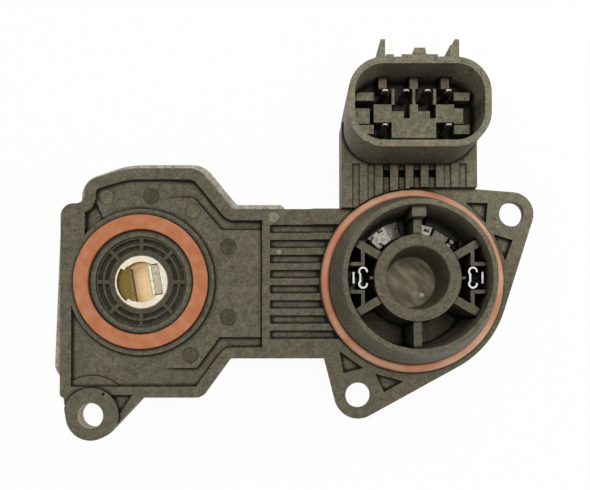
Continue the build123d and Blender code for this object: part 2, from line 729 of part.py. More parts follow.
# Housing: one moulding that carries all the rest
middle_ear_turn = degrees(atan2(-middle_ear_y, motor_x - middle_ear_x))
right_ear_turn = degrees(atan2(-right_ear_y, motor_x - right_ear_x))
left_ear_outline = hull_outline(
    (left_ear_x, left_ear_y, left_ear_radius),
    (box_left_x + web_corner, left_ear_root_y, web_corner),
    (left_ear_root_x, box_bottom_y + web_corner, web_corner),
)
flange_outline = hull_outline(
    (middle_ear_x, middle_ear_y, middle_ear_radius),
    (right_ear_x, right_ear_y, right_ear_radius),
    (motor_x, 0, flange_radius),
    (flange_foot_x, bridge_bottom_y + web_corner / 2, web_corner / 2),
    (flange_left_x + web_corner, bridge_top_y - web_corner, web_corner),
    (connector_x + stalk_width / 2 - web_corner, flange_top_y - web_corner, web_corner),
)
with BuildPart() as housing:
    # Face of the box and bridge, and the left ear with its pad
    with BuildSketch(Plane.XY.offset(face_z)):
        add(face_outline.sketch)
    extrude(amount=-plate_thickness)
    with BuildSketch(Plane.XY.offset(face_z)):
        add(left_ear_outline)
    extrude(amount=face_drop - ear_thickness)
    with BuildSketch():
        add(left_ear_outline)
        with Locations((left_ear_x, left_ear_y)):
            Circle(left_pad_radius, mode=Mode.INTERSECT)
    extrude(amount=-ear_thickness)

    # Flange with the other two ears, and the slope up to it from the bridge
    with BuildSketch():
        add(flange_outline)
        with Locations((connector_x - stalk_width / 2, bridge_top_y)):
            Rectangle(flange_radius, flange_radius, align=(Align.MAX, Align.MIN), mode=Mode.SUBTRACT)
    extrude(amount=-flange_thickness)
    with BuildSketch(Plane.XZ.offset(-bridge_top_y)):
        with BuildLine():
            Polyline(
                (flange_left_x - flange_slope, face_z),
                (flange_left_x, 0),
                (flange_foot_x, 0),
                (flange_foot_x, face_z),
                close=True,
            )
        make_face()
    extrude(amount=bridge_top_y - bridge_bottom_y)

    # Deep body behind the flange: socket base, bridge end and connector stalk
    with BuildSketch(Plane.XY.offset(back_z)):
        with Locations((motor_x, 0)):
            Circle(flange_radius - base_inset)
    extrude(amount=back_depth)
    with BuildSketch(Plane.XY.offset(cover_floor_z)):
        with Locations(((cover_end_x + cover_gap + motor_x) / 2, (bridge_top_y + bridge_bottom_y) / 2)):
            Rectangle(motor_x - cover_end_x - cover_gap, bridge_top_y - bridge_bottom_y - 2 * base_inset)
    extrude(amount=plate_z - cover_floor_z)
    with BuildSketch(Plane.XY.offset(-stalk_depth)):
        with Locations((connector_x, connector_y / 2)):
            Rectangle(stalk_width, connector_y)
    extrude(amount=stalk_depth)
    with BuildSketch():
        with Locations((connector_x, (stalk_foot_y + connector_y) / 2)):
            Rectangle(stalk_width, connector_y - stalk_foot_y)
        with Locations((connector_x - stalk_width / 4, (bridge_top_y + connector_y) / 2)):
            Rectangle(stalk_width / 2, connector_y - bridge_top_y)
        with Locations((motor_x, 0)):
            Circle(core_end_radius, mode=Mode.SUBTRACT)
    extrude(amount=stalk_rise)

    # Connector shroud
    with BuildSketch(Plane.XY.offset(-stalk_depth)):
        with Locations((connector_x, connector_y)):
            RectangleRounded(shroud_width, shroud_depth, shroud_corner)
    extrude(amount=stalk_depth + shroud_height)
    with BuildSketch(Plane.XY.offset(shroud_height)):
        with Locations((connector_x, connector_y)):
            RectangleRounded(shroud_width, shroud_depth, shroud_corner)
        offset(amount=-shroud_wall)
    extrude(amount=shroud_floor - shroud_height, mode=Mode.SUBTRACT)

    # Block with wells round the blades, keys beside it and ribs to the shroud
    block_width = blade_span + well_width
    block_top_y = blade_upper_y + well_length / 2
    block_cut_y = blade_upper_y - well_length / 2 - block_cut_length
    shroud_inner_x = shroud_width / 2 - shroud_wall
    side_block_y = connector_y - side_block_drop
    low_arm_y = side_block_y - side_block_length / 2 - low_arm_drop / 2
    post_width = shroud_inner_x - block_width / 2 - post_gap
    shroud_inner_y = shroud_top_y - shroud_wall
    with BuildSketch(Plane.XY.offset(shroud_floor)):
        with Locations((connector_x, connector_y)):
            Rectangle(block_width, blade_row_gap + well_length)
        with Locations((connector_x, blade_upper_y)):
            with GridLocations(blade_spacing, 0, blade_count, 1):
                Rectangle(well_width, well_length, mode=Mode.SUBTRACT)
        with Locations((connector_x, blade_lower_y)):
            with GridLocations(blade_span, 0, 2, 1):
                Rectangle(well_width, well_length, mode=Mode.SUBTRACT)
        for side in (-1, 1):
            cut_x = connector_x + side * block_cut_offset
            with Locations((cut_x, block_cut_y + block_cut_length / 2)):
                Rectangle(block_cut_width, block_cut_length, mode=Mode.SUBTRACT)
            with Locations((cut_x + (block_cut_width - block_tail_width) / 2, block_cut_y)):
                Rectangle(block_tail_width, 2 * block_cut_length, mode=Mode.SUBTRACT)
        with Locations((connector_x - (block_width / 2 + shroud_inner_x) / 2, blade_upper_y)):
            Rectangle(shroud_inner_x - block_width / 2, arm_width)
        with Locations((connector_x + (block_width / 2 + shroud_inner_x - arm_gap) / 2, blade_upper_y)):
            Rectangle(shroud_inner_x - arm_gap - block_width / 2, arm_width)
        with Locations((connector_x + (block_width + side_block_width) / 2, side_block_y)):
            Rectangle(side_block_width, side_block_length)
        with Locations((connector_x - shroud_inner_x + post_width / 2, side_block_y)):
            Rectangle(post_width, side_block_length)
        with Locations((connector_x - (block_width / 2 + shroud_inner_x) / 2, low_arm_y)):
            Rectangle(shroud_inner_x - block_width / 2, low_arm_width)
        with Locations((connector_x + (block_width / 2 + shroud_inner_x - arm_gap) / 2, low_arm_y)):
            Rectangle(shroud_inner_x - arm_gap - block_width / 2, low_arm_width)
        with Locations((connector_x, (block_top_y + shroud_inner_y) / 2)):
            with GridLocations(blade_span / 2, 0, 3, 1):
                Rectangle(top_rib_width, shroud_inner_y - block_top_y)
    extrude(amount=block_height - shroud_floor)

    # Latch nose, rails and guide fins on the shroud's outside
    fin_root = shroud_wall / 2
    with BuildSketch(Plane.XY.offset(shroud_height)):
        with Locations((connector_x, shroud_top_y)):
            Rectangle(rail_width, 2 * rail_rise)
        with Locations((connector_x - side_rail_offset, shroud_top_y)):
            Rectangle(side_rail_width, 2 * rail_rise)
        for side in (-1, 1):
            with Locations((connector_x + side * fin_offset, shroud_top_y + (fin_rise - fin_root) / 2)):
                Rectangle(fin_thickness, fin_rise + fin_root)
        fin_step_x = connector_x + fin_offset - fin_step_width / 2
        with Locations((fin_step_x, shroud_top_y + (fin_step_rise - fin_root) / 2)):
            Rectangle(fin_step_width, fin_step_rise + fin_root)
    extrude(amount=-fin_length)
    with BuildSketch(Plane.XY.offset(shroud_height - nose_drop)):
        with Locations((connector_x, shroud_top_y + (nose_rise - fin_root) / 2)):
            Trapezoid(nose_width, nose_rise + fin_root, nose_angle)
    extrude(amount=-nose_length)

    # Motor socket with its seal groove and pilot
    socket_pilot_radius = socket_root_radius + socket_pilot_step
    with BuildSketch(Plane.XZ):
        with BuildLine():
            Polyline(
                (motor_x + socket_root_radius, face_z),
                (motor_x + socket_root_radius, groove_z),
                (motor_x + socket_pilot_radius, groove_z),
                (motor_x + socket_pilot_radius, groove_z + socket_pilot_length),
                (motor_x + socket_rim_radius, socket_height),
                (motor_x + socket_rim_radius - socket_rim_wall, socket_height),
                (motor_x + socket_inner_radius, face_z),
                close=True,
            )
        make_face()
    revolve(axis=motor_axis)

    # Bearing boss, ribs, and the well between them, shallower where the sensor leads run under it
    with BuildSketch(Plane.XZ):
        with BuildLine():
            Polyline(
                (motor_x, face_z),
                (motor_x + boss_radius + boss_draft, face_z),
                (motor_x + boss_radius, boss_height),
                (motor_x, boss_height),
                close=True,
            )
        make_face()
    revolve(axis=motor_axis)
    with BuildSketch(Plane((motor_x, 0, 0))):
        add(socket_well.sketch)
    extrude(amount=sensor_lead_z + lead_cover, mode=Mode.SUBTRACT)
    with BuildSketch(Plane((motor_x, 0, 0))):
        add(socket_well.sketch)
        with Locations((0, lead_first_y - lead_width / 2 - lead_cover)):
            Rectangle(
                2 * socket_inner_radius,
                2 * socket_inner_radius,
                align=(Align.CENTER, Align.MAX),
                mode=Mode.INTERSECT,
            )
    extrude(amount=-socket_well_depth, mode=Mode.SUBTRACT)
    with BuildSketch(Plane((motor_x, 0, 0))):
        add(socket_ribs.sketch)
    extrude(amount=spoke_height)
    with BuildSketch():
        with Locations((motor_x, socket_wall_radius - key_length / 2)):
            Rectangle(key_width, key_length)
    extrude(amount=key_height)
    with BuildSketch(Plane.XZ):
        with BuildLine():
            Polyline(
                (motor_x, boss_height),
                (motor_x + cup_radius + cup_lead_in, boss_height),
                (motor_x + cup_radius, boss_height - cup_lead_in),
                (motor_x + cup_radius, boss_height - cup_seat_length),
                (motor_x + cup_floor_radius, -cup_floor_depth),
                (motor_x, -cup_floor_depth),
                close=True,
            )
        make_face()
    revolve(axis=motor_axis, mode=Mode.SUBTRACT)

    # Relief of the box's face, with the ear's shelf part-way down and a pocket in the upper left corner
    with BuildSketch(Plane.XY.offset(face_z)):
        add(recess_outline.sketch)
    extrude(amount=-recess_depth, mode=Mode.SUBTRACT)
    add(face_channel.part, mode=Mode.SUBTRACT)
    with BuildSketch(Plane.XY.offset(recess_z)):
        add(recess_outline.sketch)
        with BuildLine():
            Polyline(
                (shoulder_x, corner_pocket_foot_y),
                (corner_pocket_x, corner_pocket_y),
                (corner_pocket_top_x, corner_pocket_top_y),
                (shoulder_x, corner_pocket_top_y),
                close=True,
            )
        make_face(mode=Mode.INTERSECT)
    extrude(amount=-channel_depth, mode=Mode.SUBTRACT)
    with BuildSketch(Plane.XY.offset(face_z)):
        add(face_outline.sketch)
        offset(amount=-border_width, kind=Kind.INTERSECTION)
        with Locations((left_ear_x, left_ear_y)):
            Circle(ear_shelf_radius, mode=Mode.INTERSECT)
    extrude(amount=-ear_shelf_depth, mode=Mode.SUBTRACT)

    # Seat of the flat seal, rotor bore and the walls inside the rear cover
    with BuildSketch(Plane.XY.offset(face_z)):
        Circle(seal_outer_radius)
        Circle(seal_inner_radius, mode=Mode.SUBTRACT)
    extrude(amount=-seal_seat_depth, mode=Mode.SUBTRACT)
    with BuildSketch(Plane.XY.offset(face_z)):
        Circle(seal_inner_radius)
    extrude(amount=-rotor_lip_drop, mode=Mode.SUBTRACT)
    with BuildSketch(Plane.XY.offset(face_z)):
        Circle(rotor_radius + rotor_clearance)
    extrude(amount=-plate_thickness, mode=Mode.SUBTRACT)
    with BuildSketch(Plane.XY.offset(plate_z)):
        add(cover_outline.sketch)
        offset(amount=-cover_wall - cover_gap, kind=Kind.INTERSECTION)
    extrude(amount=cover_floor_z - plate_z)
    with BuildSketch(Plane.XY.offset(plate_z)):
        add(cover_outline.sketch)
        offset(amount=-cover_wall - cover_gap - box_wall, kind=Kind.INTERSECTION)
    extrude(amount=cover_floor_z - plate_z, mode=Mode.SUBTRACT)

    # Cored slots of the bridge and the stalk
    with BuildSketch():
        with Locations(((bridge_core_start_x + motor_x) / 2, 0)):
            with GridLocations(0, core_spacing, 1, core_count):
                Rectangle(motor_x - bridge_core_start_x, bridge_core_width)
        with Locations((motor_x, 0)):
            Circle(core_end_radius, mode=Mode.SUBTRACT)
    extrude(amount=face_z - bridge_core_depth, mode=Mode.SUBTRACT)
    with BuildSketch(Plane.XY.offset(stalk_rise)):
        with Locations((connector_x, (bridge_top_y + shroud_foot_y) / 2)):
            with GridLocations(core_spacing, 0, core_count, 1):
                Rectangle(stalk_core_width, shroud_foot_y - bridge_top_y)
    extrude(amount=-stalk_edge_core_depth, mode=Mode.SUBTRACT)
    with BuildSketch(Plane.XY.offset(stalk_rise)):
        with Locations((connector_x, (bridge_top_y + shroud_foot_y) / 2)):
            with GridLocations(core_spacing, 0, core_count // 2, 1):
                Rectangle(stalk_core_width, shroud_foot_y - bridge_top_y)
        with Locations((motor_x, 0)):
            Circle(core_end_radius, mode=Mode.SUBTRACT)
    extrude(amount=-stalk_core_depth, mode=Mode.SUBTRACT)
    with BuildSketch(Plane.XY.offset(stalk_rise)):
        with Locations((connector_x, stalk_hole_y)):
            with GridLocations(core_spacing, 0, core_count // 2, 1):
                Rectangle(stalk_core_width, stalk_hole_length)
    extrude(amount=-stalk_rise - stalk_hole_depth, mode=Mode.SUBTRACT)

    # Screw holes and the pockets beside the ears
    with BuildSketch():
        with Locations((left_ear_x, left_ear_y), (middle_ear_x, middle_ear_y), (right_ear_x, right_ear_y)):
            Circle(screw_hole_radius)
    extrude(amount=-ear_thickness, mode=Mode.SUBTRACT)
    for ear_x, ear_y, ear_turn in (
        (middle_ear_x, middle_ear_y, middle_ear_turn),
        (right_ear_x, right_ear_y, right_ear_turn),
    ):
        with BuildSketch(Plane((ear_x, ear_y, 0)).rotated((0, 0, ear_turn))):
            for side in (-1, 1):
                with BuildLine():
                    Polyline(
                        (pocket_far, side * pocket_spread),
                        (pocket_near, side * pocket_side),
                        (pocket_tip, side * pocket_web),
                        close=True,
                    )
                make_face()
        extrude(amount=-pocket_depth, mode=Mode.SUBTRACT)
    with BuildSketch(Plane((left_ear_x, left_ear_y, face_z))):
        with BuildLine():
            Polyline(
                (left_pocket_near, left_pocket_top),
                (left_pocket_far, left_pocket_top),
                (left_pocket_tip_x, left_pocket_tip_y),
                close=True,
            )
        make_face()
    extrude(amount=-pocket_depth, mode=Mode.SUBTRACT)
    with BuildSketch():
        with Locations((left_ear_x + pin_hole_x, left_ear_y + pin_hole_y)):
            RegularPolygon(pin_hole_radius, pin_hole_sides)
    extrude(amount=-pin_hole_depth, mode=Mode.SUBTRACT)

    # Room for the terminals' feet and for the lead frame that is moulded in
    with BuildSketch():
        for side in (-1, 1):
            with Locations((motor_x + side * (terminal_reach + terminal_bar_offset / 2), 0)):
                Rectangle(terminal_room, terminal_length)
    extrude(amount=motor_lead_z, mode=Mode.SUBTRACT)
    for lead in lead_frame:
        add(lead, mode=Mode.SUBTRACT)
housing.part.label = "housing"
export_step(housing.part, "parts/housing.step")
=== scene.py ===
"""Looks of a throttle body cover with its position sensor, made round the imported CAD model."""

from math import cos, pi, radians, sin

import bmesh
import bpy
from bpy.props import FloatProperty, FloatVectorProperty, PointerProperty
from mathutils import Matrix, Vector


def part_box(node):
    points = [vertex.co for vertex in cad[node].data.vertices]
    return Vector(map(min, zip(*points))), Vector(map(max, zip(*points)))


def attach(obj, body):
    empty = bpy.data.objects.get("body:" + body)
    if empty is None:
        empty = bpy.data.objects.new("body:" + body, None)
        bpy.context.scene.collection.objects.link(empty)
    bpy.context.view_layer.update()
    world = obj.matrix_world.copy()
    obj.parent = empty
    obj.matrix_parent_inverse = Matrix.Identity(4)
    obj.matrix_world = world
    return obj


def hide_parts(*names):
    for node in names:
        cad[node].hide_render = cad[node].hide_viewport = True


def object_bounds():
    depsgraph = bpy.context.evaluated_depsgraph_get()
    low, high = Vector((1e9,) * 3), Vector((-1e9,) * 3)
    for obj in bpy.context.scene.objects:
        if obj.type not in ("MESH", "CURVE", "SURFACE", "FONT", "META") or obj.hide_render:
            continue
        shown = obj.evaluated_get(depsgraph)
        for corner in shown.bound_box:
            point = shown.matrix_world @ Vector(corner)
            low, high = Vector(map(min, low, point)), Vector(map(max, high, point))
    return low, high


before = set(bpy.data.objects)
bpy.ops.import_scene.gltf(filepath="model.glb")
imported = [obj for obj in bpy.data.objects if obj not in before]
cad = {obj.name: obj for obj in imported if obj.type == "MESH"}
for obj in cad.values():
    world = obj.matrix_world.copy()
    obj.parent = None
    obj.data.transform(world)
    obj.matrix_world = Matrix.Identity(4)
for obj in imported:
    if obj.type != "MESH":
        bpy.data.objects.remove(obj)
cad_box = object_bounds()

bl_info = {
    "name": "Throttle cover looks",
    "version": (1, 0, 0),
    "blender": (4, 5, 0),
    "location": "View3D > Sidebar > Throttle cover",
    "description": "Dresses the throttle body cover and its position sensor",
    "category": "Object",
}

MM = 0.001

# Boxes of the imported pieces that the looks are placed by
seal_low, seal_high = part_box("motor_seal")
hub_low, hub_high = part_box("shaft_hub")
blade_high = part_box("sensor_lead_1")[1]
terminal_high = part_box("motor_terminal_left")[1]
tower_centre = (seal_low + seal_high) / 2
seal_section = seal_high.z - seal_low.z
seal_ring_radius = (seal_high.x - seal_low.x - seal_section) / 2

# Flatted socket in the hub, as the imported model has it
FLAT_HEADING = (cos(radians(10)), sin(radians(10)), 0)
FLAT_LEFT = -2.5 * MM
MOUTH_RADIUS = 4.95 * MM
LEAF_SLOT = 4.45 * MM
LEAF_SLOT_HALF = 0.16 * MM
SLOT_REACH = 5.7 * MM

# Shroud of the connector. The middles of its round corners are the corners of its core. From the core it is
# one reach to just behind the inner wall, and another to just past the outer one.
SHROUD_CENTRE = (62.4 * MM, 36.7 * MM, 0)
SHROUD_CORE = (7.6 * MM, 1.95 * MM, 0)
SHROUD_REACH = 6.55 * MM
SHROUD_OUTSIDE = 8.2 * MM
SHROUD_TOP = 22.0 * MM
# Painted shade on the shroud's front fades towards its sides, at these distances from the middle.
SHROUD_FRONT, SHROUD_SIDE = -9.5 * MM, -3.0 * MM
# A face counts as a wall up to this share of an upward normal.
WALL_SLANT = 0.3
# Floor and top of the cells round the blades
CELLS_FLOOR, CELLS_TOP = 5.0 * MM, 10.8 * MM

# Corner painted lighter, as if more brightly lit: which way it lies, and how far out that begins and is full
LIGHT_HEADING = (0.35, 1, 0)
LIGHT_START, LIGHT_FULL = 30 * MM, 50 * MM

# Left screw hole: its axis, and a radius just behind its wall
LEFT_HOLE = (-11.4 * MM, -31.1 * MM, 0)
LEFT_HOLE_REACH = 2.95 * MM

# Painted shade in the corners and hollows of the housing, the rotor and the rear cover, as a share
HOUSING_SHADE, ROTOR_SHADE, BACK_SHADE = 0.92, 0.3, 0.5

# Floors that the mould marks lie on, and the point where the bearing cup was filled
RECESS_FLOOR = -2.1 * MM
BRIDGE_FACE = -1.0 * MM
CUP_FLOOR = -3.5 * MM
GATE = Vector((tower_centre.x + 2.85 * MM, tower_centre.y - 3.05 * MM, CUP_FLOOR))

# Top of the pads that the motor contacts stand on
PAD_TOP = 0.6 * MM

# Half width of the paper, and its distance below the cover
FLOOR_HALF = 3.0
FLOOR_GAP = 0.02 * MM


def linear(code):
    """Linear RGBA of an sRGB hex code such as 5C5A4E."""
    channels = [int(code[i:i + 2], 16) / 255 for i in (0, 2, 4)]
    return [c / 12.92 if c <= 0.04045 else ((c + 0.055) / 1.055) ** 2.4 for c in channels] + [1.0]


def size(name, words, millimetres):
    """Property for a length that is given in millimetres."""
    return FloatProperty(name=name, description=words, default=millimetres * MM, unit="LENGTH", precision=5)


def colour(name, words, code):
    """Property for a colour that is given as an sRGB hex code."""
    return FloatVectorProperty(
        name=name, description=words, default=linear(code), size=4, min=0, max=1, subtype="COLOR"
    )


class CoverSizes(bpy.types.PropertyGroup):
    """Sizes of the pieces and patterns that the looks add."""

    edge_round: size("Moulded edge", "Width of the rounding on the mouldings' edges", 0.18)
    metal_round: size("Metal edge", "Width of the rounding on the metal parts' edges", 0.08)
    strip_round: size("Strip edge", "Width of the rounding on the stamped strips' edges", 0.13)
    mould_line: size("Mould line", "Height of the line where the ring seal's mould parts", 0.05)
    mould_line_width: size("Mould line width", "Half width of that line", 0.14)
    cup_radius: size("Cup floor", "Radius of the polished floor in the bearing cup", 6.2)
    cup_fillet: size("Cup fillet", "How far that floor rises at the cup's wall", 0.5)
    mark_rise: size("Mark rise", "How far a mould mark stands up", 0.06)
    mark_rim: size("Mark rim", "Width of the rim round a mould mark", 0.16)
    tab_length: size("Tab length", "Length of the welded tabs on the motor contacts", 1.0)
    nylon_cloud: size("Nylon cloud", "Size of the cloudy patches in the nylon", 7.0)
    nylon_tint: size("Nylon tint", "Size of the small tinted spots in the nylon", 1.4)
    nylon_speck: size("Nylon speck", "Size of the specks in the nylon", 0.45)
    nylon_grain: size("Nylon grain", "Size of the moulded grain", 0.3)
    # Reach of the painted shade in corners
    corner_shade_reach: size("Grime reach", "How far dirt spreads out of a corner", 1.2)
    # Reach of the painted shade in hollows
    hollow_shade_reach: size("Well reach", "How far a hollow has to be open to stay clean", 6.0)
    turning_pitch: size("Turning pitch", "Distance between the hub's turning lines", 0.3)


class CoverColours(bpy.types.PropertyGroup):
    """Colours of the finishes, as seen on the clean surface, and of the light and shade that is painted into
    them.
    """

    nylon: colour("Nylon", "Main colour of the housing", "606052")
    nylon_warm: colour("Warm nylon", "Browner patches of the housing", "686254")
    rotor_nylon: colour("Rotor nylon", "Main colour of the rotor", "504F43")
    rotor_warm: colour("Warm rotor nylon", "Browner patches of the rotor", "514C40")
    # The rear cover is painted pale, as a painted reflection of the white paper in its sides.
    back_nylon_reflection: colour("Back nylon", "Main colour of the rear cover", "B8B6AA")
    back_warm_reflection: colour("Warm back nylon", "Browner patches of the rear cover", "B2ADA1")
    # Painted shade for mouldings deep down in a hollow
    hollow_shade: colour("Well", "Mouldings deep down in a hollow", "1E1E1C")
    # Painted shade in the corners of the mouldings
    corner_shade: colour("Grime", "Dirt in the corners of the mouldings", "11110E")
    # Pin marks with painted shade, and below them pin marks with a painted sheen
    mark: colour("Mark", "Stained marks of the mould's pins", "4E4C3F")
    mark_pale: colour("Pale mark", "Marks of the mould's pins that were rubbed clean", "6B695A")
    button: colour("Button", "Raised marks that are worn pale", "8B8876")
    # Painted reflection on the left hole's wall, and the gate's stub painted pale as a highlight
    pale_reflection: colour("Scar", "Rubbed hole, and the broken stub where the cup was filled", "B9B09C")
    cup: colour("Cup", "Polished floor of the bearing cup", "575142")
    # Painted highlight streaks on the cup's floor
    cup_streak_highlight: colour("Cup flow", "Flow lines on that floor", "AEA38B")
    flat_seal: colour("Flat seal", "Silicone of the flat seal", "AE6C4A")
    flat_seal_pale: colour("Pale flat seal", "Paler stretches of the flat seal", "BA7E60")
    ring_seal: colour("Ring seal", "Silicone of the ring seal", "BC7F60")
    ring_seal_pale: colour("Pale ring seal", "Paler stretches of the ring seal", "CFA88E")
    # Painted shade along the seals' edges
    rubber_edge_shade: colour("Rubber grime", "Dirt along the seals' edges", "5A2E1C")
    steel: colour("Turned steel", "Bright faces of the hub", "F2E8D2")
    # Painted shade on the hub socket's sides, and a painted reflection on its floor and low on the springs
    steel_side_shade: colour("Stained steel", "Sides of the hub's socket", "84703F")
    deep_steel_reflection: colour("Deep steel", "Floor of the hub's socket", "F8D8A8")
    # The leaf's edge carries a painted highlight, and its top painted shade
    leaf_edge_highlight: colour("Leaf edge", "Rolled edge of the leaf's fold", "FFF8E0")
    leaf_top_shade: colour("Leaf top", "Flat top of the leaf's fold", "CFC0A3")
    spring: colour("Spring steel", "Leaf, disc spring and wipers", "E6DFCE")
    tin: colour("Tin", "Bright edges of the terminals and blades", "F0EEE8")
    # Painted shade on terminals and leads low in the mouldings
    tin_shade: colour("Dull tin", "Terminals and leads down in the mouldings", "4A473E")
    contact: colour("Contact", "Folded faces of the motor contacts", "C4BEB0")
    laminate: colour("Laminate", "Track board", "3A5238")
    laminate_thread: colour("Laminate thread", "Threads that show through the board's lacquer", "4C6648")


class StageSettings(bpy.types.PropertyGroup):
    """Camera, light and paper."""

    camera_place: FloatVectorProperty(
        name="Camera place", description="Where the camera stands", subtype="TRANSLATION", unit="LENGTH",
        default=(35.299 * MM, -15.447 * MM, 234.714 * MM),
    )
    camera_turn: FloatVectorProperty(
        name="Camera turn", description="How the camera is turned", subtype="EULER",
        default=(0.0259, -0.0027, -0.0008),
    )
    camera_lens: FloatProperty(name="Lens", description="Focal length in millimetres", default=61.722)
    camera_shift: FloatProperty(name="Shift", description="Upward shift of the frame", default=0.13)
    sky: FloatProperty(name="Sky", description="Strength of the even light all round", default=0.45)
    sky_colour: colour("Sky colour", "Colour of the even light", "FFFDF8")
    lamp: FloatProperty(name="Lamp", description="Power of the overhead lamp in watts", default=1.25)
    lamp_colour: colour("Lamp colour", "Colour of the overhead lamp", "FFFBF3")
    lamp_offset: FloatVectorProperty(
        name="Lamp place", description="Where the lamp hangs, from the cover's middle", subtype="TRANSLATION",
        unit="LENGTH", default=(0.055, 0.06, 0.42),
    )
    lamp_size: FloatVectorProperty(
        name="Lamp size", description="Width and depth of the lamp", size=2, unit="LENGTH",
        default=(0.22, 0.20),
    )
    paper: colour("Paper", "Paper that the cover lies on", "F4F4F2")
    floor_white: FloatProperty(
        name="Floor white", description="Share of plain white in the floor", default=0.95, subtype="FACTOR"
    )


def add_node(tree, kind, links=None, **settings):
    """Adds a node: settings are its own properties, and links give each input a value, another node's output,
    or another node, whose first output in use it then takes."""
    made = tree.nodes.new(kind)
    for name, value in settings.items():
        setattr(made, name, value)
    for socket, value in (links or {}).items():
        if isinstance(value, bpy.types.Node):
            value = next(output for output in value.outputs if output.enabled)
        if isinstance(value, bpy.types.NodeSocket):
            tree.links.new(value, made.inputs[socket])
        else:
            made.inputs[socket].default_value = value
    return made


def start_finish(name):
    """New material with no surface yet, and the object coordinates that its patterns read."""
    material = bpy.data.materials.new(name)
    material.use_nodes = True
    tree = material.node_tree
    tree.nodes.clear()
    return material, tree, add_node(tree, "ShaderNodeTexCoord").outputs["Object"]


def end_finish(tree, inputs):
    """Closes a finish with a Principled surface that takes the given inputs."""
    surface = add_node(tree, "ShaderNodeBsdfPrincipled", inputs)
    add_node(tree, "ShaderNodeOutputMaterial", {"Surface": surface})


def nylon_skin(tree, place, speck, main, warm, sizes):
    """Clean skin of the nylon: cloudy, with small tints and soft specks, and painted lighter towards the
    connector, as if more brightly lit there.
    """
    cloud = add_node(
        tree, "ShaderNodeTexNoise", {"Vector": place, "Scale": 1 / sizes.nylon_cloud, "Detail": 3.0}
    )
    clouds = add_node(tree, "ShaderNodeMapRange", {"Value": cloud, "From Min": 0.36, "From Max": 0.64})
    clean = add_node(tree, "ShaderNodeMix", {0: clouds, 6: main, 7: warm}, data_type="RGBA")
    tint = add_node(
        tree, "ShaderNodeTexNoise", {"Vector": place, "Scale": 1 / sizes.nylon_tint, "Detail": 2.0}
    )
    tints = add_node(
        tree, "ShaderNodeMapRange",
        {"Value": tint, "From Min": 0.3, "From Max": 0.7, "To Min": 0.78, "To Max": 1.22},
    )
    # Painted light: the skin grows lighter towards the connector's corner.
    towards = add_node(tree, "ShaderNodeVectorMath", {0: place, 1: LIGHT_HEADING}, operation="DOT_PRODUCT")
    painted_light = add_node(
        tree, "ShaderNodeMapRange",
        {"Value": towards, "From Min": LIGHT_START, "From Max": LIGHT_FULL, "To Min": 1.0, "To Max": 1.6},
    )
    shares = add_node(tree, "ShaderNodeMath", {0: tints, 1: painted_light}, operation="MULTIPLY")
    tinted = add_node(tree, "ShaderNodeVectorMath", {0: clean, "Scale": shares}, operation="SCALE")
    specks = add_node(
        tree, "ShaderNodeMapRange",
        {"Value": speck, "From Min": 0.42, "From Max": 0.76, "To Min": 1.0, "To Max": 0.5},
    )
    return add_node(tree, "ShaderNodeVectorMath", {0: tinted, "Scale": specks}, operation="SCALE")


def shroud_shade(tree, place, level):
    """Share of painted shade in the cells round the connector's blades, inside its shroud and on its front.
    """
    height = add_node(tree, "ShaderNodeSeparateXYZ", {"Vector": place}).outputs["Z"]
    offset = add_node(tree, "ShaderNodeVectorMath", {0: level, 1: SHROUD_CENTRE}, operation="SUBTRACT")
    aside = add_node(tree, "ShaderNodeVectorMath", {0: offset}, operation="ABSOLUTE")
    past = add_node(tree, "ShaderNodeVectorMath", {0: aside, 1: SHROUD_CORE}, operation="SUBTRACT")
    beyond = add_node(tree, "ShaderNodeVectorMath", {0: past, 1: (0, 0, 0)}, operation="MAXIMUM")
    reach = add_node(tree, "ShaderNodeVectorMath", {0: beyond}, operation="LENGTH")
    within = add_node(tree, "ShaderNodeMath", {0: reach, 1: SHROUD_REACH}, operation="LESS_THAN")
    above = add_node(tree, "ShaderNodeMath", {0: height, 1: CELLS_FLOOR - 0.1 * MM}, operation="GREATER_THAN")
    inside = add_node(tree, "ShaderNodeMath", {0: within, 1: above}, operation="MULTIPLY")
    depth = add_node(
        tree, "ShaderNodeMapRange",
        {"Value": height, "From Min": CELLS_FLOOR, "From Max": CELLS_TOP, "To Min": 0.7, "To Max": 0.0},
    )
    facing = add_node(tree, "ShaderNodeTexCoord").outputs["Normal"]
    upward = add_node(tree, "ShaderNodeSeparateXYZ", {"Vector": facing}).outputs["Z"]
    steep = add_node(tree, "ShaderNodeMath", {0: upward, 1: 0.0, 2: WALL_SLANT}, operation="COMPARE")
    rise = add_node(
        tree, "ShaderNodeMapRange",
        {"Value": height, "From Min": CELLS_TOP, "From Max": SHROUD_TOP, "To Min": 0.0, "To Max": 0.3},
    )
    wall = add_node(tree, "ShaderNodeMath", {0: steep, 1: rise}, operation="MULTIPLY")
    deeper = add_node(tree, "ShaderNodeMath", {0: wall, 1: depth}, operation="MAXIMUM")
    inner = add_node(tree, "ShaderNodeMath", {0: inside, 1: deeper}, operation="MULTIPLY")
    ahead = add_node(tree, "ShaderNodeSeparateXYZ", {"Vector": offset}).outputs["Y"]
    front = add_node(
        tree, "ShaderNodeMapRange",
        {"Value": ahead, "From Min": SHROUD_FRONT, "From Max": SHROUD_SIDE, "To Min": 0.4, "To Max": 0.0},
    )
    close = add_node(tree, "ShaderNodeMath", {0: reach, 1: SHROUD_OUTSIDE}, operation="LESS_THAN")
    skin = add_node(tree, "ShaderNodeMath", {0: front, 1: close}, operation="MULTIPLY")
    outer = add_node(tree, "ShaderNodeMath", {0: skin, 1: steep}, operation="MULTIPLY")
    return add_node(tree, "ShaderNodeMath", {0: inner, 1: outer}, operation="MAXIMUM")


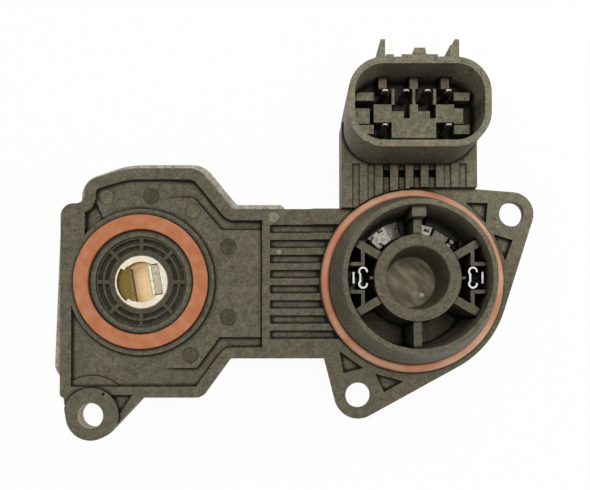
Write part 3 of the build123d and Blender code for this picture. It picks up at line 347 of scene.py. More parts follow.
def moulded_nylon(name, main, warm, shade_share, sizes, colours):
    """Glass-filled nylon from a spark-eroded mould: half matt and cloudy where the fibres lie close under the
    skin, with soft specks, a pale sheen at a slant, and painted shade in its corners and down in its wells."""
    material, tree, place = start_finish(name)
    speck = add_node(
        tree, "ShaderNodeTexNoise", {"Vector": place, "Scale": 1 / sizes.nylon_speck, "Detail": 2.0}
    )
    clean = nylon_skin(tree, place, speck, main, warm, sizes)
    # Painted shade: faces closed in by the moulding itself are darkened towards the hollow shade colour.
    hollow = add_node(
        tree, "ShaderNodeAmbientOcclusion", {"Distance": sizes.hollow_shade_reach}, samples=16, only_local=True
    ).outputs["AO"]
    shade = add_node(
        tree, "ShaderNodeMapRange",
        {"Value": hollow, "From Min": 0.1, "From Max": 0.6, "To Min": 0.6 * shade_share, "To Max": 0.0},
    )
    shaded = add_node(tree, "ShaderNodeMix", {0: shade, 6: clean, 7: colours.hollow_shade}, data_type="RGBA")
    level = add_node(tree, "ShaderNodeVectorMath", {0: place, 1: (1, 1, 0)}, operation="MULTIPLY")
    # Painted shade: the connector's cells, its shroud's inner walls and the shroud's front are darkened.
    shroud_shading = shroud_shade(tree, place, level)
    shroud_shaded = add_node(tree, "ShaderNodeMix", {0: shroud_shading, 6: shaded, 7: colours.hollow_shade}, data_type="RGBA")
    # The wall of the left hole is painted pale, as a painted reflection.
    away = add_node(tree, "ShaderNodeVectorMath", {0: level, 1: LEFT_HOLE}, operation="DISTANCE")
    hole = add_node(tree, "ShaderNodeMath", {0: away, 1: LEFT_HOLE_REACH}, operation="LESS_THAN")
    paled = add_node(tree, "ShaderNodeMix", {0: hole, 6: shroud_shaded, 7: colours.pale_reflection}, data_type="RGBA")
    # Painted shade: ambient occlusion darkens the corners towards the corner shade colour.
    corner = add_node(tree, "ShaderNodeAmbientOcclusion", {"Distance": sizes.corner_shade_reach}, samples=16)
    corner_shading = add_node(
        tree, "ShaderNodeMapRange",
        {"Value": corner.outputs["AO"], "From Min": 0.64, "From Max": 0.93, "To Min": shade_share, "To Max": 0.0},
    )
    seen = add_node(tree, "ShaderNodeMix", {0: corner_shading, 6: paled, 7: colours.corner_shade}, data_type="RGBA")
    gloss = add_node(
        tree, "ShaderNodeMapRange",
        {"Value": speck, "From Min": 0.3, "From Max": 0.7, "To Min": 0.46, "To Max": 0.62},
    )
    # The real grain is about 0.05 mm and too fine to show, so it is drawn coarser.
    grain = add_node(
        tree, "ShaderNodeTexNoise", {"Vector": place, "Scale": 1 / sizes.nylon_grain, "Detail": 2.0}
    )
    bump = add_node(tree, "ShaderNodeBump", {"Strength": 0.35, "Distance": 0.03 * MM, "Height": grain})
    end_finish(tree, {
        "Base Color": seen, "Roughness": gloss, "Normal": bump, "IOR": 1.5, "Specular IOR Level": 0.15,
    })
    return material


def polished_nylon(name, main, pale, centre):
    """Nylon from a polished mould: smooth, with pale streaks painted in as highlights, running past the point
    where it was filled.
    """
    material, tree, place = start_finish(name)
    away = add_node(tree, "ShaderNodeVectorMath", {0: place, 1: centre}, operation="SUBTRACT")
    lay = add_node(
        tree, "ShaderNodeMapping",
        {"Vector": away, "Rotation": (0, 0, radians(-45)), "Scale": (9 * MM, 2.2 * MM, 1)},
        vector_type="TEXTURE",
    )
    # Painted highlight: pale streaks across the floor
    streak_noise = add_node(tree, "ShaderNodeTexNoise", {"Vector": lay, "Scale": 1.0, "Detail": 1.0})
    lines = add_node(tree, "ShaderNodeMapRange", {"Value": streak_noise, "From Min": 0.36, "From Max": 0.72})
    cloud = add_node(tree, "ShaderNodeTexNoise", {"Vector": place, "Scale": 1 / (4 * MM), "Detail": 3.0})
    clouds = add_node(tree, "ShaderNodeMapRange", {"Value": cloud, "From Min": 0.3, "From Max": 0.62})
    share = add_node(tree, "ShaderNodeMath", {0: lines, 1: clouds}, operation="MULTIPLY")
    seen = add_node(tree, "ShaderNodeMix", {0: share, 6: main, 7: pale}, data_type="RGBA")
    gloss = add_node(
        tree, "ShaderNodeMapRange",
        {"Value": cloud, "From Min": 0.3, "From Max": 0.7, "To Min": 0.24, "To Max": 0.4},
    )
    wave = add_node(tree, "ShaderNodeBump", {"Strength": 0.3, "Distance": 0.05 * MM, "Height": streak_noise})
    end_finish(tree, {
        "Base Color": seen, "Roughness": gloss, "Normal": wave, "IOR": 1.5, "Specular IOR Level": 0.25,
    })
    return material


def silicone(name, main, pale, patch, roughness, sizes, colours):
    """Moulded silicone rubber: soft orange with paler stretches, a slight bloom and painted shade along its
    edges.
    """
    material, tree, place = start_finish(name)
    cloud = add_node(tree, "ShaderNodeTexNoise", {"Vector": place, "Scale": 1 / patch, "Detail": 3.0})
    stretch = add_node(tree, "ShaderNodeMapRange", {"Value": cloud, "From Min": 0.42, "From Max": 0.66})
    clean = add_node(tree, "ShaderNodeMix", {0: stretch, 6: main, 7: pale}, data_type="RGBA")
    # Painted shade along the seal's edges, from ambient occlusion.
    corner = add_node(tree, "ShaderNodeAmbientOcclusion", {"Distance": sizes.corner_shade_reach}, samples=16)
    corner_shading = add_node(
        tree, "ShaderNodeMapRange",
        {"Value": corner.outputs["AO"], "From Min": 0.3, "From Max": 0.85, "To Min": 0.85, "To Max": 0.0},
    )
    seen = add_node(tree, "ShaderNodeMix", {0: corner_shading, 6: clean, 7: colours.rubber_edge_shade}, data_type="RGBA")
    # Silicone's bloom is a fine dust, drawn at about a third of a millimetre so that it shows.
    bloom = add_node(tree, "ShaderNodeTexNoise", {"Vector": place, "Scale": 1 / (0.35 * MM), "Detail": 3.0})
    gloss = add_node(
        tree, "ShaderNodeMapRange",
        {
            "Value": bloom, "From Min": 0.3, "From Max": 0.7,
            "To Min": roughness - 0.08, "To Max": roughness + 0.08,
        },
    )
    bump = add_node(tree, "ShaderNodeBump", {"Strength": 0.2, "Distance": 0.02 * MM, "Height": bloom})
    end_finish(tree, {"Base Color": seen, "Roughness": gloss, "Normal": bump, "IOR": 1.41})
    return material


def turned_steel(sizes, colours):
    """Turned steel: bright on its end with fine rings from the tool, with painted brown shade on the sides of
    its socket and a painted tan reflection on the socket's floor."""
    material, tree, place = start_finish("turned_steel_bright")
    height = add_node(tree, "ShaderNodeSeparateXYZ", {"Vector": place}).outputs["Z"]
    low = add_node(
        tree, "ShaderNodeMapRange",
        {"Value": height, "From Min": hub_low.z + 2.0 * MM, "From Max": hub_high.z - 2.5 * MM},
    )
    high = add_node(
        tree, "ShaderNodeMapRange",
        {"Value": height, "From Min": hub_high.z - 0.7 * MM, "From Max": hub_high.z - 0.3 * MM},
    )
    sides = add_node(
        tree, "ShaderNodeMix", {0: low, 6: colours.deep_steel_reflection, 7: colours.steel_side_shade}, data_type="RGBA"
    )
    clean = add_node(tree, "ShaderNodeMix", {0: high, 6: sides, 7: colours.steel}, data_type="RGBA")
    # Past the shaft's left flat the mouth of the socket gets the painted shade of its sides, so that it reads
    # as a recess.
    across = add_node(tree, "ShaderNodeVectorMath", {0: place, 1: FLAT_HEADING}, operation="DOT_PRODUCT")
    left = add_node(tree, "ShaderNodeMath", {0: across, 1: FLAT_LEFT}, operation="LESS_THAN")
    level = add_node(tree, "ShaderNodeVectorMath", {0: place, 1: (1, 1, 0)}, operation="MULTIPLY")
    away = add_node(tree, "ShaderNodeVectorMath", {0: level}, operation="LENGTH")
    inside = add_node(tree, "ShaderNodeMath", {0: away, 1: MOUTH_RADIUS}, operation="LESS_THAN")
    mouth = add_node(tree, "ShaderNodeMath", {0: left, 1: inside}, operation="MULTIPLY")
    toned = add_node(tree, "ShaderNodeMix", {0: mouth, 6: clean, 7: colours.steel_side_shade}, data_type="RGBA")
    # Behind the leaf its slot shows as a painted shadow line.
    slot = add_node(
        tree, "ShaderNodeMath", {0: across, 1: LEAF_SLOT, 2: LEAF_SLOT_HALF}, operation="COMPARE"
    )
    near = add_node(tree, "ShaderNodeMath", {0: away, 1: SLOT_REACH}, operation="LESS_THAN")
    line = add_node(tree, "ShaderNodeMath", {0: slot, 1: near}, operation="MULTIPLY")
    slot_shadowed = add_node(tree, "ShaderNodeMix", {0: line, 6: toned, 7: colours.corner_shade}, data_type="RGBA")
    smear = add_node(tree, "ShaderNodeTexNoise", {"Vector": place, "Scale": 1 / (1.2 * MM), "Detail": 3.0})
    smears = add_node(
        tree, "ShaderNodeMapRange",
        {"Value": smear, "From Min": 0.3, "From Max": 0.7, "To Min": 0.84, "To Max": 1.0},
    )
    seen = add_node(tree, "ShaderNodeVectorMath", {0: slot_shadowed, "Scale": smears}, operation="SCALE")
    rings = add_node(
        tree, "ShaderNodeTexWave",
        {"Vector": place, "Scale": 2 * pi / (20 * sizes.turning_pitch), "Detail": 0.0},
        wave_type="RINGS", rings_direction="Z",
    )
    gloss = add_node(
        tree, "ShaderNodeMapRange",
        {"Value": smear, "From Min": 0.3, "From Max": 0.7, "To Min": 0.24, "To Max": 0.4},
    )
    bump = add_node(
        tree, "ShaderNodeBump", {"Strength": 0.15, "Distance": 0.01 * MM, "Height": rings.outputs[1]}
    )
    end_finish(tree, {"Base Color": seen, "Roughness": gloss, "Normal": bump, "Metallic": 1.0})
    return material


def drawn_metal(name, main, dull_and_shade, shade_below, fade, smooth=0.14, rough=0.3):
    """Rolled strip, tinned or plain: its own colour above a height and painted shade below it, with smears
    and a faint ripple.
    """
    material, tree, place = start_finish(name)
    height = add_node(tree, "ShaderNodeSeparateXYZ", {"Vector": place}).outputs["Z"]
    bright = add_node(
        tree, "ShaderNodeMapRange",
        {"Value": height, "From Min": shade_below - fade, "From Max": shade_below},
    )
    clean = add_node(tree, "ShaderNodeMix", {0: bright, 6: dull_and_shade, 7: main}, data_type="RGBA")
    smear = add_node(tree, "ShaderNodeTexNoise", {"Vector": place, "Scale": 1 / (0.8 * MM), "Detail": 3.0})
    smears = add_node(
        tree, "ShaderNodeMapRange",
        {"Value": smear, "From Min": 0.35, "From Max": 0.7, "To Min": 1.0, "To Max": 0.66},
    )
    seen = add_node(tree, "ShaderNodeVectorMath", {0: clean, "Scale": smears}, operation="SCALE")
    gloss = add_node(
        tree, "ShaderNodeMapRange",
        {"Value": smear, "From Min": 0.3, "From Max": 0.7, "To Min": smooth, "To Max": rough},
    )
    ripple = add_node(tree, "ShaderNodeTexNoise", {"Vector": place, "Scale": 1 / (0.3 * MM), "Detail": 1.0})
    bump = add_node(tree, "ShaderNodeBump", {"Strength": 0.2, "Distance": 0.02 * MM, "Height": ripple})
    end_finish(tree, {"Base Color": seen, "Roughness": gloss, "Normal": bump, "Metallic": 1.0})
    return material


def board_laminate(colours):
    """Lacquered glass laminate: green, with the weave of the cloth showing through the lacquer."""
    material, tree, place = start_finish("board_laminate_green")
    # The cloth's threads are about 0.5 mm apart.
    thread = 2 * pi / (20 * 0.5 * MM)
    warp, weft = (
        add_node(tree, "ShaderNodeTexWave", {"Vector": place, "Scale": thread}, bands_direction=way)
        for way in "XY"
    )
    weave = add_node(tree, "ShaderNodeMath", {0: warp.outputs[1], 1: weft.outputs[1]}, operation="MULTIPLY")
    seen = add_node(
        tree, "ShaderNodeMix", {0: weave, 6: colours.laminate, 7: colours.laminate_thread}, data_type="RGBA"
    )
    end_finish(tree, {"Base Color": seen, "Roughness": 0.35})
    return material


def round_edges(piece, width):
    """Rounds the edges of a piece."""
    rounding = piece.modifiers.new("round_edges", "BEVEL")
    rounding.width = width
    rounding.segments = 2
    return rounding


def dress(node, material, width):
    """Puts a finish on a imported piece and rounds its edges."""
    piece = cad[node]
    piece.material_slots[0].material = material
    weld = piece.modifiers.new("join_faces", "WELD")
    weld.merge_threshold = 0.001 * MM
    rounding = round_edges(piece, width)
    rounding.limit_method = "ANGLE"
    rounding.angle_limit = radians(35)
    rounding.harden_normals = True


def new_tree(name, inputs):
    """Geometry node tree with named inputs, each given as its name and the kind of its socket."""
    tree = bpy.data.node_groups.new(name, "GeometryNodeTree")
    for label, kind in inputs.items():
        tree.interface.new_socket(label, in_out="INPUT", socket_type=f"NodeSocket{kind}")
    tree.interface.new_socket("Geometry", in_out="OUTPUT", socket_type="NodeSocketGeometry")
    return tree, add_node(tree, "NodeGroupInput").outputs


def end_tree(tree, geometry, material):
    """Closes a tree: its instances are made real and get the material."""
    real = add_node(tree, "GeometryNodeRealizeInstances", {"Geometry": geometry})
    done = add_node(tree, "GeometryNodeSetMaterial", {"Geometry": real, "Material": material})
    add_node(tree, "NodeGroupOutput", {"Geometry": done})


def grown(name, mesh, tree, values):
    """Object whose mesh is what the tree makes from the given mesh and input values."""
    piece = bpy.data.objects.new(name, mesh)
    bpy.context.scene.collection.objects.link(piece)
    modifier = piece.modifiers.new("grow", "NODES")
    modifier.node_group = tree
    for item in tree.interface.items_tree:
        if item.in_out == "INPUT" and item.name in values:
            modifier[item.identifier] = values[item.name]
    bpy.context.view_layer.update()
    graph = bpy.context.evaluated_depsgraph_get()
    result = bpy.data.meshes.new_from_object(piece.evaluated_get(graph))
    piece.modifiers.remove(modifier)
    piece.data = result
    result.name = name
    if not result.polygons:
        raise RuntimeError(f"{name} came out empty")
    return piece


def spots_mesh(name, spots, label):
    """Mesh of loose points, each given as (x, y, z, value). The values become an attribute of that label."""
    mesh = bpy.data.meshes.new(name)
    mesh.from_pydata([spot[:3] for spot in spots], [], [])
    values = mesh.attributes.new(label, "FLOAT", "POINT")
    for i, spot in enumerate(spots):
        values.data[i].value = spot[3]
    return mesh


def in_tower(radius, turn, height):
    """Point at a radius and turn round the axis of the motor socket."""
    return tower_centre.x + radius * cos(turn), tower_centre.y + radius * sin(turn), height


def mount(piece, body, slot, *replaced):
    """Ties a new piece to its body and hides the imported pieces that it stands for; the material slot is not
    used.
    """
    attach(piece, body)
    if replaced:
        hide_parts(*replaced)


def made_piece(name, shape, material):
    """Object from a bmesh whose faces are turned outwards."""
    bmesh.ops.recalc_face_normals(shape, faces=shape.faces)
    mesh = bpy.data.meshes.new(name)
    shape.to_mesh(mesh)
    shape.free()
    mesh.materials.append(material)
    piece = bpy.data.objects.new(name, mesh)
    bpy.context.scene.collection.objects.link(piece)
    return piece


def settings(context):
    """Sizes and colours that are set in the scene."""
    return context.scene.cover_sizes, context.scene.cover_colours


class COVER_OT_mouldings(bpy.types.Operator):
    """Dresses the housing, the rear cover and the rotor in moulded nylon"""

    bl_idname = "throttle_cover.mouldings"
    bl_label = "Mouldings"

    def execute(self, context):
        sizes, colours = settings(context)
        for node, name, main, warm, shade_share in (
            ("housing", "moulded_nylon_olive", colours.nylon, colours.nylon_warm, HOUSING_SHADE),
            ("rotor", "moulded_nylon_black", colours.rotor_nylon, colours.rotor_warm, ROTOR_SHADE),
            ("rear_cover", "moulded_nylon_pale", colours.back_nylon_reflection, colours.back_warm_reflection, BACK_SHADE),
        ):
            dress(node, moulded_nylon(name, main, warm, shade_share, sizes, colours), sizes.edge_round)
        return {"FINISHED"}


class COVER_OT_metalwork(bpy.types.Operator):
    """Dresses the hub, the springs, the terminals and the leads"""

    bl_idname = "throttle_cover.metalwork"
    bl_label = "Metalwork"

    def execute(self, context):
        sizes, colours = settings(context)
        dress("shaft_hub", turned_steel(sizes, colours), sizes.metal_round)
        spring = drawn_metal(
            "spring_steel_rolled", colours.spring, colours.deep_steel_reflection,
            shade_below=hub_high.z - 1.2 * MM, fade=1.5 * MM,
        )
        for node in ("hub_spring", "thrust_spring", "wiper_inner", "wiper_outer"):
            dress(node, spring, sizes.metal_round)
        # Blades keep bright tin only at their tips, with painted shade below
        blade = drawn_metal(
            "tinned_brass_blade", colours.tin, colours.tin_shade,
            shade_below=blade_high.z - 0.15 * MM, fade=0.15 * MM,
        )
        socket = drawn_metal(
            "tinned_brass_socket", colours.tin, colours.tin_shade,
            shade_below=terminal_high.z - 0.2 * MM, fade=0.4 * MM,
        )
        for node in cad:
            if "lead" in node:
                dress(node, blade, sizes.strip_round)
            elif "terminal" in node:
                dress(node, socket, sizes.strip_round)
        return {"FINISHED"}


class COVER_OT_leaf_fold(bpy.types.Operator):
    """Makes the rolled edge and the flat top of the leaf's fold at the mouth of the hub's socket, the edge
    with a painted highlight and the top with painted shade
    """

    bl_idname = "throttle_cover.leaf_fold"
    bl_label = "Leaf fold"

    # Each strip's section as (distance from the shaft's axis, depth under the hub's end) in millimetres
    sections = {
        "edge": ((2.05, 0.9), (2.06, 0.3), (2.18, 0.1), (2.8, 0.06), (2.8, 0.3), (2.45, 0.4), (2.3, 0.9)),
        "top": ((2.86, 0.1), (3.5, 0.08), (4.22, 0.12), (4.26, 0.3), (2.86, 0.32)),
    }
    half_width = 3.4 * MM

    def execute(self, context):
        sizes, colours = settings(context)
        along = Vector(FLAT_HEADING)
        aside = Vector((-along.y, along.x, 0))
        for name, main in (("edge", colours.leaf_edge_highlight), ("top", colours.leaf_top_shade)):
            metal = drawn_metal(
                f"spring_steel_{name}", main, main, shade_below=hub_low.z, fade=0.1 * MM, smooth=0.16
            )
            shape = bmesh.new()
            ends = []
            for end in (-self.half_width, self.half_width):
                ends.append([])
                for reach, depth in self.sections[name]:
                    height = Vector((0, 0, hub_high.z - depth * MM))
                    ends[-1].append(shape.verts.new(along * reach * MM + aside * end + height))
            count = len(ends[0])
            for i in range(count):
                after = (i + 1) % count
                shape.faces.new((ends[0][i], ends[0][after], ends[1][after], ends[1][i]))
            for end in ends:
                shape.faces.new(end)
            piece = made_piece(f"hub_leaf_{name}", shape, metal)
            round_edges(piece, sizes.metal_round / 2)
            mount(piece, "rotor", "spring_steel")
        return {"FINISHED"}


class COVER_OT_flat_seal(bpy.types.Operator):
    """Dresses the flat seal round the rotor"""

    bl_idname = "throttle_cover.flat_seal"
    bl_label = "Flat seal"

    def execute(self, context):
        sizes, colours = settings(context)
        rubber = silicone(
            "silicone_flat_seal", colours.flat_seal, colours.flat_seal_pale, 3 * MM, 0.7, sizes, colours
        )
        dress("rotor_seal", rubber, sizes.edge_round)
        return {"FINISHED"}


class COVER_OT_ring_seal(bpy.types.Operator):
    """Makes the ring seal at the foot of the motor socket, with the line where its mould parts"""

    bl_idname = "throttle_cover.ring_seal"
    bl_label = "Ring seal"

    def execute(self, context):
        sizes, colours = settings(context)
        rubber = silicone(
            "silicone_ring_seal", colours.ring_seal, colours.ring_seal_pale, 9 * MM, 0.4, sizes, colours
        )
        tree, given = new_tree("ring_seal", {
            "Geometry": "Geometry", "Centre": "Vector", "Ring Radius": "Float", "Section Radius": "Float",
            "Line Height": "Float", "Line Width": "Float", "Finish": "Material",
        })
        path, section = (
            add_node(tree, "GeometryNodeCurvePrimitiveCircle", {"Resolution": count, "Radius": given[radius]})
            for count, radius in ((256, "Ring Radius"), (72, "Section Radius"))
        )
        # The line stands out of the section at mid height, inside and outside.
        spot = add_node(tree, "GeometryNodeInputPosition")
        up = add_node(tree, "ShaderNodeSeparateXYZ", {"Vector": spot}).outputs["Y"]
        away = add_node(tree, "ShaderNodeMath", {0: up, 1: given["Line Width"]}, operation="DIVIDE")
        bell = add_node(tree, "ShaderNodeMath", {0: away, 1: away}, operation="MULTIPLY")
        fall = add_node(tree, "ShaderNodeMath", {0: bell, 1: -1.0}, operation="MULTIPLY")
        share = add_node(tree, "ShaderNodeMath", {0: fall}, operation="EXPONENT")
        rise = add_node(tree, "ShaderNodeMath", {0: share, 1: given["Line Height"]}, operation="MULTIPLY")
        outward = add_node(tree, "ShaderNodeVectorMath", {0: spot}, operation="NORMALIZE")
        shift = add_node(tree, "ShaderNodeVectorMath", {0: outward, "Scale": rise}, operation="SCALE")
        lined = add_node(tree, "GeometryNodeSetPosition", {"Geometry": section, "Offset": shift})
        ring = add_node(tree, "GeometryNodeCurveToMesh", {0: path, 1: lined})
        smooth = add_node(tree, "GeometryNodeSetShadeSmooth", {"Geometry": ring})
        placed = add_node(
            tree, "GeometryNodeTransform", {"Geometry": smooth, "Translation": given["Centre"]}
        )
        end_tree(tree, placed, given["Finish"])
        piece = grown("motor_ring_seal", bpy.data.meshes.new("motor_ring_seal"), tree, {
            "Centre": tower_centre, "Ring Radius": seal_ring_radius,
            "Section Radius": seal_section / 2 - sizes.mould_line, "Line Height": sizes.mould_line,
            "Line Width": sizes.mould_line_width, "Finish": rubber,
        })
        mount(piece, "cover", "silicone_rubber", "motor_seal")
        return {"FINISHED"}


class COVER_OT_motor_contacts(bpy.types.Operator):
    """Makes the folded faces of the motor contacts that show between the spokes, and their welded tabs"""

    bl_idname = "throttle_cover.motor_contacts"
    bl_label = "Motor contacts"

    # Each contact's inner and outer radius, and its folds as (turn round the socket, height above the pad)
    contacts = {
        "left": (10.5, 14.2, ((136.5, 1.0), (118.5, 1.5), (104.5, 1.1))),
        "right": (
            11.0, 13.2, ((81.0, 1.3), (69.0, 1.5), (66.0, 0.15), (49.0, 0.15), (47.0, 1.0), (42.0, 1.0)),
        ),
    }
    # Their skirts end this far below the top of the pads.
    sunk = 0.2 * MM
    # Each tab's place as its turn round the socket, radius and height above the pad, and the tab's own turn
    tabs = (
        (123.5, 13.6, 1.4, 30.0), (134.0, 13.4, 1.1, 60.0), (130.5, 11.0, 1.2, -35.0),
        (106.5, 12.2, 0.9, 80.0), (74.0, 12.0, 1.45, -25.0), (44.5, 12.2, 1.05, 130.0),
    )
    # Width and thickness of a tab, as shares of its length
    tab_width, tab_thickness = 0.55, 0.22

    def make_face(self, side, material, rounding):
        """Folded face of one contact, closed below by a skirt."""
        inner, outer, folds = self.contacts[side]
        shape = bmesh.new()
        rows = [
            [
                shape.verts.new(in_tower(radius * MM, radians(angle), PAD_TOP + rise * MM))
                for radius in (inner, outer)
            ]
            for angle, rise in folds
        ]
        for near, far in zip(rows, rows[1:]):
            shape.faces.new((near[0], near[1], far[1], far[0]))
        border = [edge for edge in shape.edges if edge.is_boundary]
        for part in bmesh.ops.extrude_edge_only(shape, edges=border)["geom"]:
            if isinstance(part, bmesh.types.BMVert):
                part.co.z = PAD_TOP - self.sunk
        bmesh.ops.contextual_create(shape, geom=[edge for edge in shape.edges if edge.is_boundary])
        piece = made_piece(f"motor_contact_{side}", shape, material)
        round_edges(piece, rounding)
        mount(piece, "cover", "tinned_brass")

    def execute(self, context):
        sizes, colours = settings(context)
        # Painted shade on the low parts of the contacts' faces
        dull_and_shade = drawn_metal(
            "tinned_brass_dull", colours.contact, colours.tin_shade,
            shade_below=1.2 * MM, fade=0.8 * MM, smooth=0.2, rough=0.35,
        )
        for side in self.contacts:
            self.make_face(side, dull_and_shade, sizes.metal_round)

        bright = drawn_metal(
            "tinned_brass_weld", colours.tin, colours.contact,
            shade_below=-1.0 * MM, fade=0.1 * MM, smooth=0.2, rough=0.4,
        )
        tree, given = new_tree("contact_tabs", {
            "Geometry": "Geometry", "Length": "Float", "Finish": "Material",
        })
        half = add_node(tree, "ShaderNodeMath", {0: given["Length"], 1: 0.5}, operation="MULTIPLY")
        back = add_node(tree, "ShaderNodeMath", {0: half, 1: -1.0}, operation="MULTIPLY")
        start = add_node(tree, "ShaderNodeCombineXYZ", {"X": back})
        top = add_node(tree, "ShaderNodeCombineXYZ", {"Z": half})
        end = add_node(tree, "ShaderNodeCombineXYZ", {"X": half})
        bow = add_node(
            tree, "GeometryNodeCurveQuadraticBezier",
            {"Resolution": 8, "Start": start, "Middle": top, "End": end},
        )
        broad, thick = (
            add_node(tree, "ShaderNodeMath", {0: given["Length"], 1: share}, operation="MULTIPLY")
            for share in (self.tab_width, self.tab_thickness)
        )
        strip = add_node(tree, "GeometryNodeCurvePrimitiveQuadrilateral", {"Width": broad, "Height": thick})
        tab = add_node(tree, "GeometryNodeCurveToMesh", {0: bow, 1: strip, "Fill Caps": True})
        turn = add_node(tree, "GeometryNodeInputNamedAttribute", {"Name": "turn"}, data_type="FLOAT")
        heading = add_node(tree, "ShaderNodeCombineXYZ", {"Z": turn})
        spread = add_node(
            tree, "GeometryNodeInstanceOnPoints",
            {"Points": given["Geometry"], "Instance": tab, "Rotation": heading},
        )
        end_tree(tree, spread, given["Finish"])
        spots = [
            (*in_tower(radius * MM, radians(angle), PAD_TOP + rise * MM), radians(turned))
            for angle, radius, rise, turned in self.tabs
        ]
        piece = grown("motor_contact_tabs", spots_mesh("motor_contact_tabs", spots, "turn"), tree, {
            "Length": sizes.tab_length, "Finish": bright,
        })
        mount(piece, "cover", "tinned_brass")
        return {"FINISHED"}


class COVER_OT_mould_marks(bpy.types.Operator):
    """Makes the marks that the mould's pins and gate left on the housing"""

    bl_idname = "throttle_cover.mould_marks"
    bl_label = "Mould marks"

    # Each mark's place on the housing and its radius
    pin = 1.85 * MM
    # Marks darkened with painted shade
    shaded_pins = (
        (20.35 * MM, 8.26 * MM, RECESS_FLOOR, pin), (20.35 * MM, -8.26 * MM, RECESS_FLOOR, pin),
        (2.2 * MM, 20.2 * MM, RECESS_FLOOR, pin), (11.4 * MM, -17.1 * MM, RECESS_FLOOR, pin),
    )
    # Marks made paler with a painted sheen
    clean = ((12.0 * MM, 16.6 * MM, RECESS_FLOOR, pin), (-8.3 * MM, 20.07 * MM, RECESS_FLOOR, pin))
    buttons = ((30.93 * MM, 15.13 * MM, BRIDGE_FACE, 1.4 * MM), (32.2 * MM, 6.98 * MM, BRIDGE_FACE, 0.6 * MM))
    # The gate's stub is a real mound, painted pale as a highlight.
    stub = ((GATE.x, GATE.y, CUP_FLOOR + 0.1 * MM, 0.5 * MM),)

    def execute(self, context):
        sizes, colours = settings(context)
        tree, given = new_tree("pin_marks", {
            "Geometry": "Geometry", "Rise": "Float", "Rim": "Float", "Finish": "Material",
        })
        # A disc and a circle of radius 1 are drawn to each mark's own radius, and the circle carries the rim.
        reach = add_node(tree, "GeometryNodeInputNamedAttribute", {"Name": "reach"}, data_type="FLOAT")
        broad = add_node(tree, "ShaderNodeCombineXYZ", {"X": reach, "Y": reach, "Z": 1.0})
        disc = add_node(
            tree, "GeometryNodeMeshCone",
            {"Vertices": 48, "Radius Top": 0.84, "Radius Bottom": 0.9, "Depth": given["Rise"]},
        )
        circle = add_node(tree, "GeometryNodeCurvePrimitiveCircle", {"Resolution": 48, "Radius": 1.0})
        discs, rounds = (
            add_node(
                tree, "GeometryNodeInstanceOnPoints",
                {"Points": given["Geometry"], "Instance": shape, "Scale": broad},
            )
            for shape in (disc, circle)
        )
        lines = add_node(tree, "GeometryNodeRealizeInstances", {"Geometry": rounds})
        half = add_node(tree, "ShaderNodeMath", {0: given["Rim"], 1: 0.5}, operation="MULTIPLY")
        section = add_node(tree, "GeometryNodeCurvePrimitiveCircle", {"Resolution": 8, "Radius": half})
        rims = add_node(tree, "GeometryNodeCurveToMesh", {0: lines, 1: section})
        smooth = add_node(tree, "GeometryNodeSetShadeSmooth", {"Geometry": rims})
        both = add_node(tree, "GeometryNodeJoinGeometry", {"Geometry": discs})
        tree.links.new(smooth.outputs[0], both.inputs["Geometry"])
        end_tree(tree, both, given["Finish"])

        for name, spots, main in (
            ("pin_marks_shaded", self.shaded_pins, colours.mark),
            ("pin_marks_sheen", self.clean, colours.mark_pale),
            ("buttons", self.buttons, colours.button),
            ("gate_stub_glint", self.stub, colours.pale_reflection),
        ):
            material = moulded_nylon(f"moulded_nylon_{name}", main, main, HOUSING_SHADE, sizes, colours)
            piece = grown(name, spots_mesh(name, spots, "reach"), tree, {
                "Rise": sizes.mark_rise, "Rim": sizes.mark_rim, "Finish": material,
            })
            mount(piece, "cover", "moulded_nylon")
        return {"FINISHED"}


class COVER_OT_cup_floor(bpy.types.Operator):
    """Makes the polished floor of the bearing cup, which runs up to the cup's wall in a small fillet"""

    bl_idname = "throttle_cover.cup_floor"
    bl_label = "Cup floor"

    rings = 24
    segments = 96
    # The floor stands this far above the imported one, and its rim reaches this far below that.
    proud = 0.03 * MM
    sunk = 0.1 * MM
    # Radius and height of the low mound round the gate
    mound_radius = 0.55 * MM
    mound_height = 0.12 * MM

    def execute(self, context):
        sizes, colours = settings(context)
        turns = [2 * pi * k / self.segments for k in range(self.segments)]
        shape = bmesh.new()
        loops = []
        for i in range(1, self.rings + 1):
            share = i / self.rings
            rise = self.proud + sizes.cup_fillet * share ** 6
            loops.append([
                shape.verts.new(in_tower(sizes.cup_radius * share, turn, CUP_FLOOR + rise)) for turn in turns
            ])
        loops.append([shape.verts.new((vert.co.x, vert.co.y, CUP_FLOOR - self.sunk)) for vert in loops[-1]])
        for near, far in zip(loops, loops[1:]):
            for k in range(self.segments):
                after = (k + 1) % self.segments
                shape.faces.new((near[k], far[k], far[after], near[after]))
        shape.faces.new(loops[0])
        shape.faces.new(loops[-1])
        for face in shape.faces:
            face.smooth = True
        for vert in shape.verts:
            away = (vert.co - GATE).length / self.mound_radius
            if away < 1 and vert.co.z > CUP_FLOOR:
                vert.co.z += self.mound_height * (1 - away)
        floor = polished_nylon("polished_nylon_olive", colours.cup, colours.cup_streak_highlight, GATE)
        piece = made_piece("bearing_cup_floor", shape, floor)
        mount(piece, "cover", "moulded_nylon")
        return {"FINISHED"}


class COVER_OT_track_board(bpy.types.Operator):
    """Dresses the board under the rotor"""

    bl_idname = "throttle_cover.track_board"
    bl_label = "Track board"

    def execute(self, context):
        sizes, colours = settings(context)
        dress("sensor_board", board_laminate(colours), sizes.metal_round)
        return {"FINISHED"}


def seen_directly(tree):
    """Share that is 1 for the camera and for rays that glossy or clear surfaces send on, and 0 for others."""
    ray = add_node(tree, "ShaderNodeLightPath").outputs
    shiny = add_node(
        tree, "ShaderNodeMath", {0: ray["Is Camera Ray"], 1: ray["Is Glossy Ray"]}, operation="ADD"
    )
    return add_node(
        tree, "ShaderNodeMath", {0: shiny, 1: ray["Is Transmission Ray"]}, operation="ADD", use_clamp=True
    )


